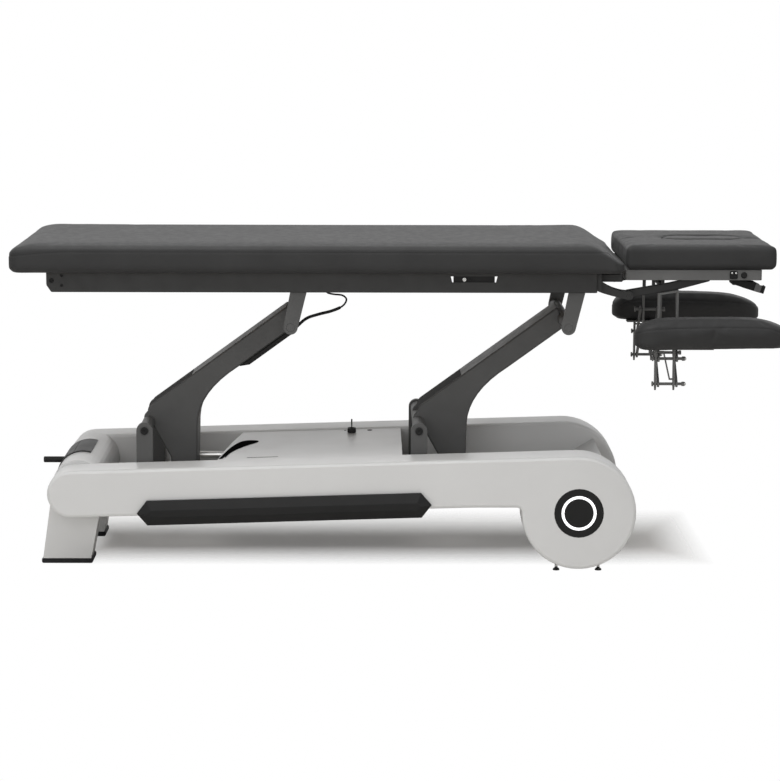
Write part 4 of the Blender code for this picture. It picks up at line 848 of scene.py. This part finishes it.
class TABLE_OT_armrest_pads(bpy.types.Operator):
    """Stuff and sew the two armrest pads"""
    bl_idname = "table.armrest_pads"
    bl_label = "Armrest Pads"

    def execute(self, context):
        start_drop = 0.026
        start_round = 0.029
        end_drop = 0.034
        end_round = 0.045
        start_gap = 0.009
        start_length = 0.12
        seam_drop = 0.020
        seam_follows = (0.75, 0.50)
        ring_corner = 0.045
        for side_name, side in SIDES:
            node = "arm_pad_" + side_name
            low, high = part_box(node)

            def shape(places):
                share = (places[:, 2] - low[2]) / (high[2] - low[2])
                drop = start_drop * np.exp(-(places[:, 0] - low[0]) / start_round)
                drop += end_drop * np.exp(-(high[0] - places[:, 0]) / end_round)
                places[:, 2] -= drop * share
                return places

            pad = filled(node, "armrest_cover_" + side_name, 0.005, 0.003, 0.0050, shape)
            places = read_points(pad.data)
            places[:, 0] += start_gap * np.clip(1 - (places[:, 0] - low[0]) / start_length, 0, 1)
            write_points(pad.data, places)
            paint(pad, "upholstery")
            centre_y = (low[1] + high[1]) / 2

            def seam_height(x):
                drop = seam_follows[0] * start_drop * math.exp(-(x - low[0]) / start_round)
                drop += seam_follows[1] * end_drop * math.exp(-(high[0] - x) / end_round)
                return high[2] - seam_drop - drop

            def inner(p):
                return Vector((max(low[0] + 0.06, min(high[0] - 0.06, p.x)), centre_y, p.z))

            tree = surface_of(pad)
            ring = []
            for p in around(low, high, ring_corner, seam_height, 0.01):
                away = (p - inner(p)).normalized()
                hit = tree.ray_cast(inner(p) + away * 0.3, -away)[0]
                ring.append(hit if hit is not None else p)

            def outside(p):
                return p + (p - inner(p)).normalized() * 0.1

            sew(pad, ring, "armrest_" + side_name, "armrest_" + side_name,
                (-sizes().stitch_offset,), outside)
            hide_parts(node)
            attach(pad, "armrest_" + side_name)
        return {"FINISHED"}


class TABLE_OT_fasteners(bpy.types.Operator):
    """Add the screws and bolts that show"""
    bl_idname = "table.fasteners"
    bl_label = "Fasteners"

    def execute(self, context):
        size = sizes()
        low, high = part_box("rail_near")
        bolt_inset = 0.014
        screw_inset = 0.041
        screw_rise = 0.013
        middle = low[2] + 0.031
        for side_name, side in SIDES:
            face = side * abs(low[1])
            out = (0, side, 0)
            rail_rows = (("bolts", size.rail_bolt, 0.004, bolt_inset, (0,)),
                         ("screws", size.rail_screw, 0.0025, screw_inset,
                          (-screw_rise, screw_rise)))
            for kind, radius, height, inset, rises in rail_rows:
                places = [facing(out, (low[0] + inset, face, middle + dz)) for dz in rises]
                heads = copies(bolt_head(radius, height), "rail_" + kind + "_" + side_name, places)
                paint(heads, "black_plastic")
                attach(heads, "top_frame")
        cap_shift = 0.012
        cap_drop = 0.022
        for stand in ("pivot_stand_foot", "pivot_stand_head"):
            low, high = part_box(stand)
            places = [facing((0, side, 0), ((low[0] + high[0]) / 2 + cap_shift, side * high[1],
                                            high[2] - cap_drop)) for _, side in SIDES]
            caps = copies(bolt_head(0.010, 0.004, 0.4), stand + "_caps", places)
            paint(caps, "black_plastic")
            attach(caps, "base")
        sunk = 0.0005
        toward_camera = (0, -1, 0)
        low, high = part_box("latch_block")
        places = [facing(toward_camera, (low[0] + dx, low[1] - sunk, high[2] - 0.005))
                  for dx in (0.0055, 0.0160)]
        studs = copies(dome(0.0032), "latch_studs", places)
        paint(studs, "bright_steel")
        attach(studs, "headrest")
        low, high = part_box("lock_screw")
        screw_x = 0.169
        places = [facing(toward_camera, (screw_x, low[1] - sunk, (low[2] + high[2]) / 2))]
        head = copies(bolt_head(0.0052, 0.003, 0.45), "lock_screw_head", places)
        paint(head, "bright_steel")
        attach(head, "top_frame")
        tip_y = 0.282
        for side_name, side in SIDES:
            for level, rise in (("upper", 0.572), ("lower", 0.504)):
                body = "arm_link_" + level + "_" + side_name
                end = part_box(body)[1][0]
                places = [facing((1, 0, 0), (end - 0.001, side * tip_y, rise))]
                tip = copies(dome(0.0058), body + "_tip", places)
                paint(tip, "bright_steel")
                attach(tip, body)
        return {"FINISHED"}


def dome(radius):
    """A turned half-round head standing on the origin along +Z."""
    bpy.ops.object.select_all(action="DESELECT")
    bpy.ops.mesh.primitive_uv_sphere_add(segments=20, ring_count=12, radius=radius)
    head = bpy.context.object
    bpy.ops.object.mode_set(mode="EDIT")
    bpy.ops.mesh.select_all(action="SELECT")
    bpy.ops.mesh.bisect(plane_co=(0, 0, 0), plane_no=(0, 0, 1), clear_inner=True, use_fill=True)
    bpy.ops.object.mode_set(mode="OBJECT")
    smooth(head, 50)
    return head


def flat_piece(name, outline, thickness, place):
    """A flat plate with the outline in its own XY plane, moved to its place."""
    curve = bpy.data.curves.new(name, "CURVE")
    curve.dimensions = "2D"
    curve.fill_mode = "BOTH"
    curve.extrude = thickness / 2
    spline = curve.splines.new("POLY")
    spline.points.add(len(outline) - 1)
    for point, (u, v) in zip(spline.points, outline):
        point.co = (u, v, 0, 1)
    spline.use_cyclic_u = True
    holder = bpy.data.objects.new(name + "_outline", curve)
    bpy.context.scene.collection.objects.link(holder)
    pick(holder)
    bpy.ops.object.convert(target="MESH")
    plate = bpy.context.object
    plate.name = name
    bpy.ops.object.mode_set(mode="EDIT")
    bpy.ops.mesh.select_all(action="SELECT")
    bpy.ops.mesh.remove_doubles(threshold=0.00002)
    bpy.ops.object.mode_set(mode="OBJECT")
    plate.matrix_world = place
    settle(plate)
    return plate


class TABLE_OT_release_lever(bpy.types.Operator):
    """Give the release lever its folded cheeks and its end plate"""
    bl_idname = "table.release_lever"
    bl_label = "Release Lever"

    def execute(self, context):
        low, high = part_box("release_lever")
        sheet = 0.0012
        fold = 0.0030
        shape = ((0.8915, 0.7722), (0.9538, 0.7660), (0.9722, 0.7565), (0.9655, 0.7385),
                 (0.9230, 0.7515), (0.8915, 0.7630))
        end = ((0.9560, 0.7640), (0.9722, 0.7565), (0.9655, 0.7385), (0.9500, 0.7440))
        plates = (("release_cheek_near", shape, sheet, low[1] - fold, "black_plastic"),
                  ("release_cheek_far", shape, sheet, high[1] + fold, "black_plastic"),
                  ("release_end", end, 0.0010, low[1] - fold - sheet, "grey_steel"))
        upright = Matrix.Rotation(math.radians(90), 4, "X")
        for name, outline, thickness, y, finish in plates:
            plate = flat_piece(name, outline, thickness, Matrix.Translation((0, y, 0)) @ upright)
            paint(plate, finish)
            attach(plate, "release_lever")
        return {"FINISHED"}


class TABLE_OT_cover_shade_plate(bpy.types.Operator):
    """Paint the shade of the finger slot, the slit and the two holes in the centre cover, as thin
    dark plates laid on it
    """
    bl_idname = "table.cover_trim"
    bl_label = "Cover Shade Plates"

    def execute(self, context):
        lean = math.atan(0.030)
        start_x = -0.4900
        level = 0.2828
        proud = 0.0004
        anchor = Matrix.Translation((start_x, 0, level)) @ Matrix.Rotation(-lean, 4, "Y")
        outline = ((-0.4900, -0.199), (-0.4792, -0.114), (-0.4669, -0.030), (-0.4481, 0.049),
                   (-0.4266, 0.080), (-0.3980, 0.075), (-0.3950, 0.052), (-0.4178, 0.012),
                   (-0.4412, -0.034), (-0.4630, -0.104), (-0.4805, -0.195))
        ring = [(p.x, p.y) for p in smooth_route([(x - start_x, y, 0) for x, y in outline], 5)]
        slit = ((0.0757, -0.1910), (0.1600, -0.1872), (0.1600, -0.1862), (0.0757, -0.1890))
        # painted shade: thin dark plates laid just above the cover where its slot, slit and holes
        # are in shade
        shade_plates = [("slot_shade", ring, 0.0010, 0.0006), ("cover_slit_shade", slit, 0.0006, proud)]
        for name, place, radius in (("foot", (0.3388, 0.206), 0.0032),
                                    ("head", (0.4089, 0.200), 0.0072)):
            rim = [(place[0] + radius * math.cos(math.pi * step / 12),
                    place[1] + radius * math.sin(math.pi * step / 12)) for step in range(24)]
            shade_plates.append(("cover_hole_shade_" + name, rim, 0.0006, proud))
        for name, edge, thickness, rise in shade_plates:
            shade_plate = flat_piece(name, edge, thickness,
                              anchor @ Matrix.Translation((0, 0, rise)))
            paint(shade_plate, "hollow_shade")
            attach(shade_plate, "base")
        return {"FINISHED"}


def smooth_route(points, steps):
    """Points of a smooth curve through the route's own points."""
    route = []
    for i in range(len(points) - 1):
        p0, p1, p2, p3 = (Vector(points[max(0, min(len(points) - 1, i + k))])
                          for k in (-1, 0, 1, 2))
        for step in range(steps):
            t = step / steps
            route.append(0.5 * (2 * p1 + (p2 - p0) * t + (2 * p0 - 5 * p1 + 4 * p2 - p3) * t ** 2
                                + (3 * p1 - p0 - 3 * p2 + p3) * t ** 3))
    route.append(Vector(points[-1]))
    return route


class TABLE_OT_lift_lead(bpy.types.Operator):
    """Hang the lead between the lift arm and the top frame, with its sleeve"""
    bl_idname = "table.lift_lead"
    bl_label = "Lift Lead"

    def execute(self, context):
        size = sizes()
        points = ((-0.2972, -0.050, 0.6137), (-0.2875, -0.050, 0.6207), (-0.2566, -0.052, 0.6480),
                  (-0.2226, -0.058, 0.6610), (-0.1866, -0.064, 0.6710), (-0.1566, -0.068, 0.6850),
                  (-0.1456, -0.070, 0.7030), (-0.1566, -0.072, 0.7150), (-0.1806, -0.072, 0.7180),
                  (-0.1966, -0.072, 0.7220), (-0.2026, -0.072, 0.7300), (-0.2026, -0.072, 0.7360))
        sleeve_share = 0.44
        route = smooth_route(points, 8)
        lead = line_tube("lead", route, size.lead_radius, False, 4)
        paint(lead, "rubber")
        sleeved = route[:int(len(route) * sleeve_share)]
        sleeve = line_tube("lead_sleeve", sleeved, size.sleeve_radius, False, 5)
        paint(sleeve, "rubber")
        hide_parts("lift_lead")
        for piece in (lead, sleeve):
            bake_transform(piece)
        return {"FINISHED"}


class TABLE_OT_stage(bpy.types.Operator):
    """Set the floor, the lights and the camera"""
    bl_idname = "table.stage"
    bl_label = "Stage"

    def execute(self, context):
        scene = context.scene
        studio = scene.table_studio
        bpy.ops.object.select_all(action="DESELECT")
        bpy.ops.mesh.primitive_plane_add(size=60, location=(0, 0, 0))
        floor = bpy.context.object
        floor.name = "studio_floor"
        mat, tree, shader = new_material("studio floor")
        shader.inputs["Base Color"].default_value = (*studio.floor, 1)
        shader.inputs["Roughness"].default_value = 0.85
        shader.inputs["Specular IOR Level"].default_value = 0.1
        out = [n for n in tree.nodes if n.type == "OUTPUT_MATERIAL"][0]
        where = place_nodes(tree)
        parts = tree.nodes.new("ShaderNodeSeparateXYZ")
        tree.links.new(where, parts.inputs["Vector"])
        edges = (("Y", 0.02, -0.24), ("Y", 0.12, 0.52), ("X", 0.70, 0.86), ("X", -0.80, -0.94))
        fade = None
        for axis, begin, end in edges:
            edge = remap(tree, parts.outputs[axis], 0, 1, begin, end)
            if fade is None:
                fade = edge
                continue
            most = worked(tree, "SMOOTH_MAX", fade, edge)
            most.inputs[2].default_value = 0.2
            fade = most.outputs["Value"]
        rays = tree.nodes.new("ShaderNodeLightPath")
        gone = worked(tree, "MULTIPLY", fade, rays.outputs["Is Camera Ray"])
        gone.use_clamp = True
        lift = worked(tree, "MULTIPLY", rays.outputs["Is Camera Ray"], studio.floor_lift)
        shader.inputs["Emission Color"].default_value = (1.0, 0.97, 0.93, 1)
        tree.links.new(lift.outputs["Value"], shader.inputs["Emission Strength"])
        clear = tree.nodes.new("ShaderNodeBsdfTransparent")
        both = tree.nodes.new("ShaderNodeMixShader")
        tree.links.new(gone.outputs["Value"], both.inputs["Fac"])
        tree.links.new(shader.outputs["BSDF"], both.inputs[1])
        tree.links.new(clear.outputs["BSDF"], both.inputs[2])
        tree.links.new(both.outputs["Shader"], out.inputs["Surface"])
        floor.data.materials.append(mat)

        world = bpy.data.worlds.new("studio")
        world.use_nodes = True
        scene.world = world
        tree = world.node_tree
        for node in list(tree.nodes):
            tree.nodes.remove(node)
        out = tree.nodes.new("ShaderNodeOutputWorld")
        rays = tree.nodes.new("ShaderNodeLightPath")
        seen = worked(tree, "MAXIMUM", rays.outputs["Is Camera Ray"], rays.outputs["Is Glossy Ray"])
        seen = worked(tree, "MAXIMUM", seen.outputs["Value"], rays.outputs["Is Transmission Ray"])
        level = tree.nodes.new("ShaderNodeMapRange")
        level.inputs["To Min"].default_value = studio.ambient
        level.inputs["To Max"].default_value = 1.0
        tree.links.new(seen.outputs["Value"], level.inputs["Value"])
        sky = tree.nodes.new("ShaderNodeBackground")
        sky.inputs["Color"].default_value = (1, 1, 1, 1)
        tree.links.new(level.outputs["Result"], sky.inputs["Strength"])
        tree.links.new(sky.outputs["Background"], out.inputs["Surface"])

        lamps = (("overhead", (-0.6, -0.8, 3.2), (0.1, 0, 0.5), 3.4, studio.overhead),
                 ("front", (-0.9, -5.2, 1.7), (0, 0, 0.4), 3.0, studio.front))
        for name, place, aim, width, power in lamps:
            lamp = bpy.data.lights.new(name, "AREA")
            lamp.shape = "RECTANGLE"
            lamp.size = width
            lamp.size_y = width * 0.7
            lamp.energy = power
            holder = bpy.data.objects.new(name, lamp)
            holder.location = place
            holder.visible_camera = False
            toward = Vector(aim) - Vector(place)
            holder.rotation_euler = toward.to_track_quat("-Z", "Y").to_euler()
            scene.collection.objects.link(holder)

        lens = bpy.data.cameras.new("camera")
        lens.lens = 120.86
        lens.sensor_width = 36
        lens.sensor_fit = "HORIZONTAL"
        lens.clip_end = 100
        camera = bpy.data.objects.new("camera", lens)
        camera.location = (-0.0821, -7.1819, 1.5551)
        look_down = 8.8177
        look_right = 0.4535
        lean = 0.1655
        tilt = Matrix.Rotation(math.radians(90 - look_down), 4, "X")
        turn = Matrix.Rotation(math.radians(-look_right), 4, "Z")
        roll = Matrix.Rotation(math.radians(lean), 4, "Z")
        camera.rotation_euler = (turn @ tilt @ roll).to_euler()
        scene.collection.objects.link(camera)
        scene.camera = camera
        scene.view_settings.view_transform = "Standard"
        return {"FINISHED"}


class TABLE_PT_panel(bpy.types.Panel):
    """Sidebar panel that lists the table's pieces"""
    bl_label = "Massage Table"
    bl_idname = "TABLE_PT_panel"
    bl_space_type = "VIEW_3D"
    bl_region_type = "UI"
    bl_category = "Massage Table"

    def draw(self, context):
        layout = self.layout
        for step in STEPS:
            layout.operator(step.bl_idname)
        for group in (context.scene.table_sizes, context.scene.table_colours,
                      context.scene.table_studio):
            box = layout.box()
            for name in group.bl_rna.properties.keys():
                if name not in ("rna_type", "name"):
                    box.prop(group, name)


STEPS = (
    TABLE_OT_finish_frame,
    TABLE_OT_main_cushion,
    TABLE_OT_headrest_cushion,
    TABLE_OT_armrest_pads,
    TABLE_OT_lift_lead,
    TABLE_OT_release_lever,
    TABLE_OT_cover_shade_plate,
    TABLE_OT_fasteners,
    TABLE_OT_stage,
)
GROUPS = (TableColours, TableSizes, TableStudio)


def register():
    for item in GROUPS + STEPS + (TABLE_PT_panel,):
        bpy.utils.register_class(item)
    bpy.types.Scene.table_colours = PointerProperty(type=TableColours)
    bpy.types.Scene.table_sizes = PointerProperty(type=TableSizes)
    bpy.types.Scene.table_studio = PointerProperty(type=TableStudio)


def unregister():
    del bpy.types.Scene.table_studio
    del bpy.types.Scene.table_sizes
    del bpy.types.Scene.table_colours
    for item in reversed(GROUPS + STEPS + (TABLE_PT_panel,)):
        bpy.utils.unregister_class(item)


def main():
    register()
    bpy.ops.table.finish_frame()
    bpy.ops.table.main_cushion()
    bpy.ops.table.headrest_cushion()
    bpy.ops.table.armrest_pads()
    bpy.ops.table.lift_lead()
    bpy.ops.table.release_lever()
    bpy.ops.table.cover_trim()
    bpy.ops.table.fasteners()
    bpy.ops.table.stage()


if __name__ == "__main__":
    main()
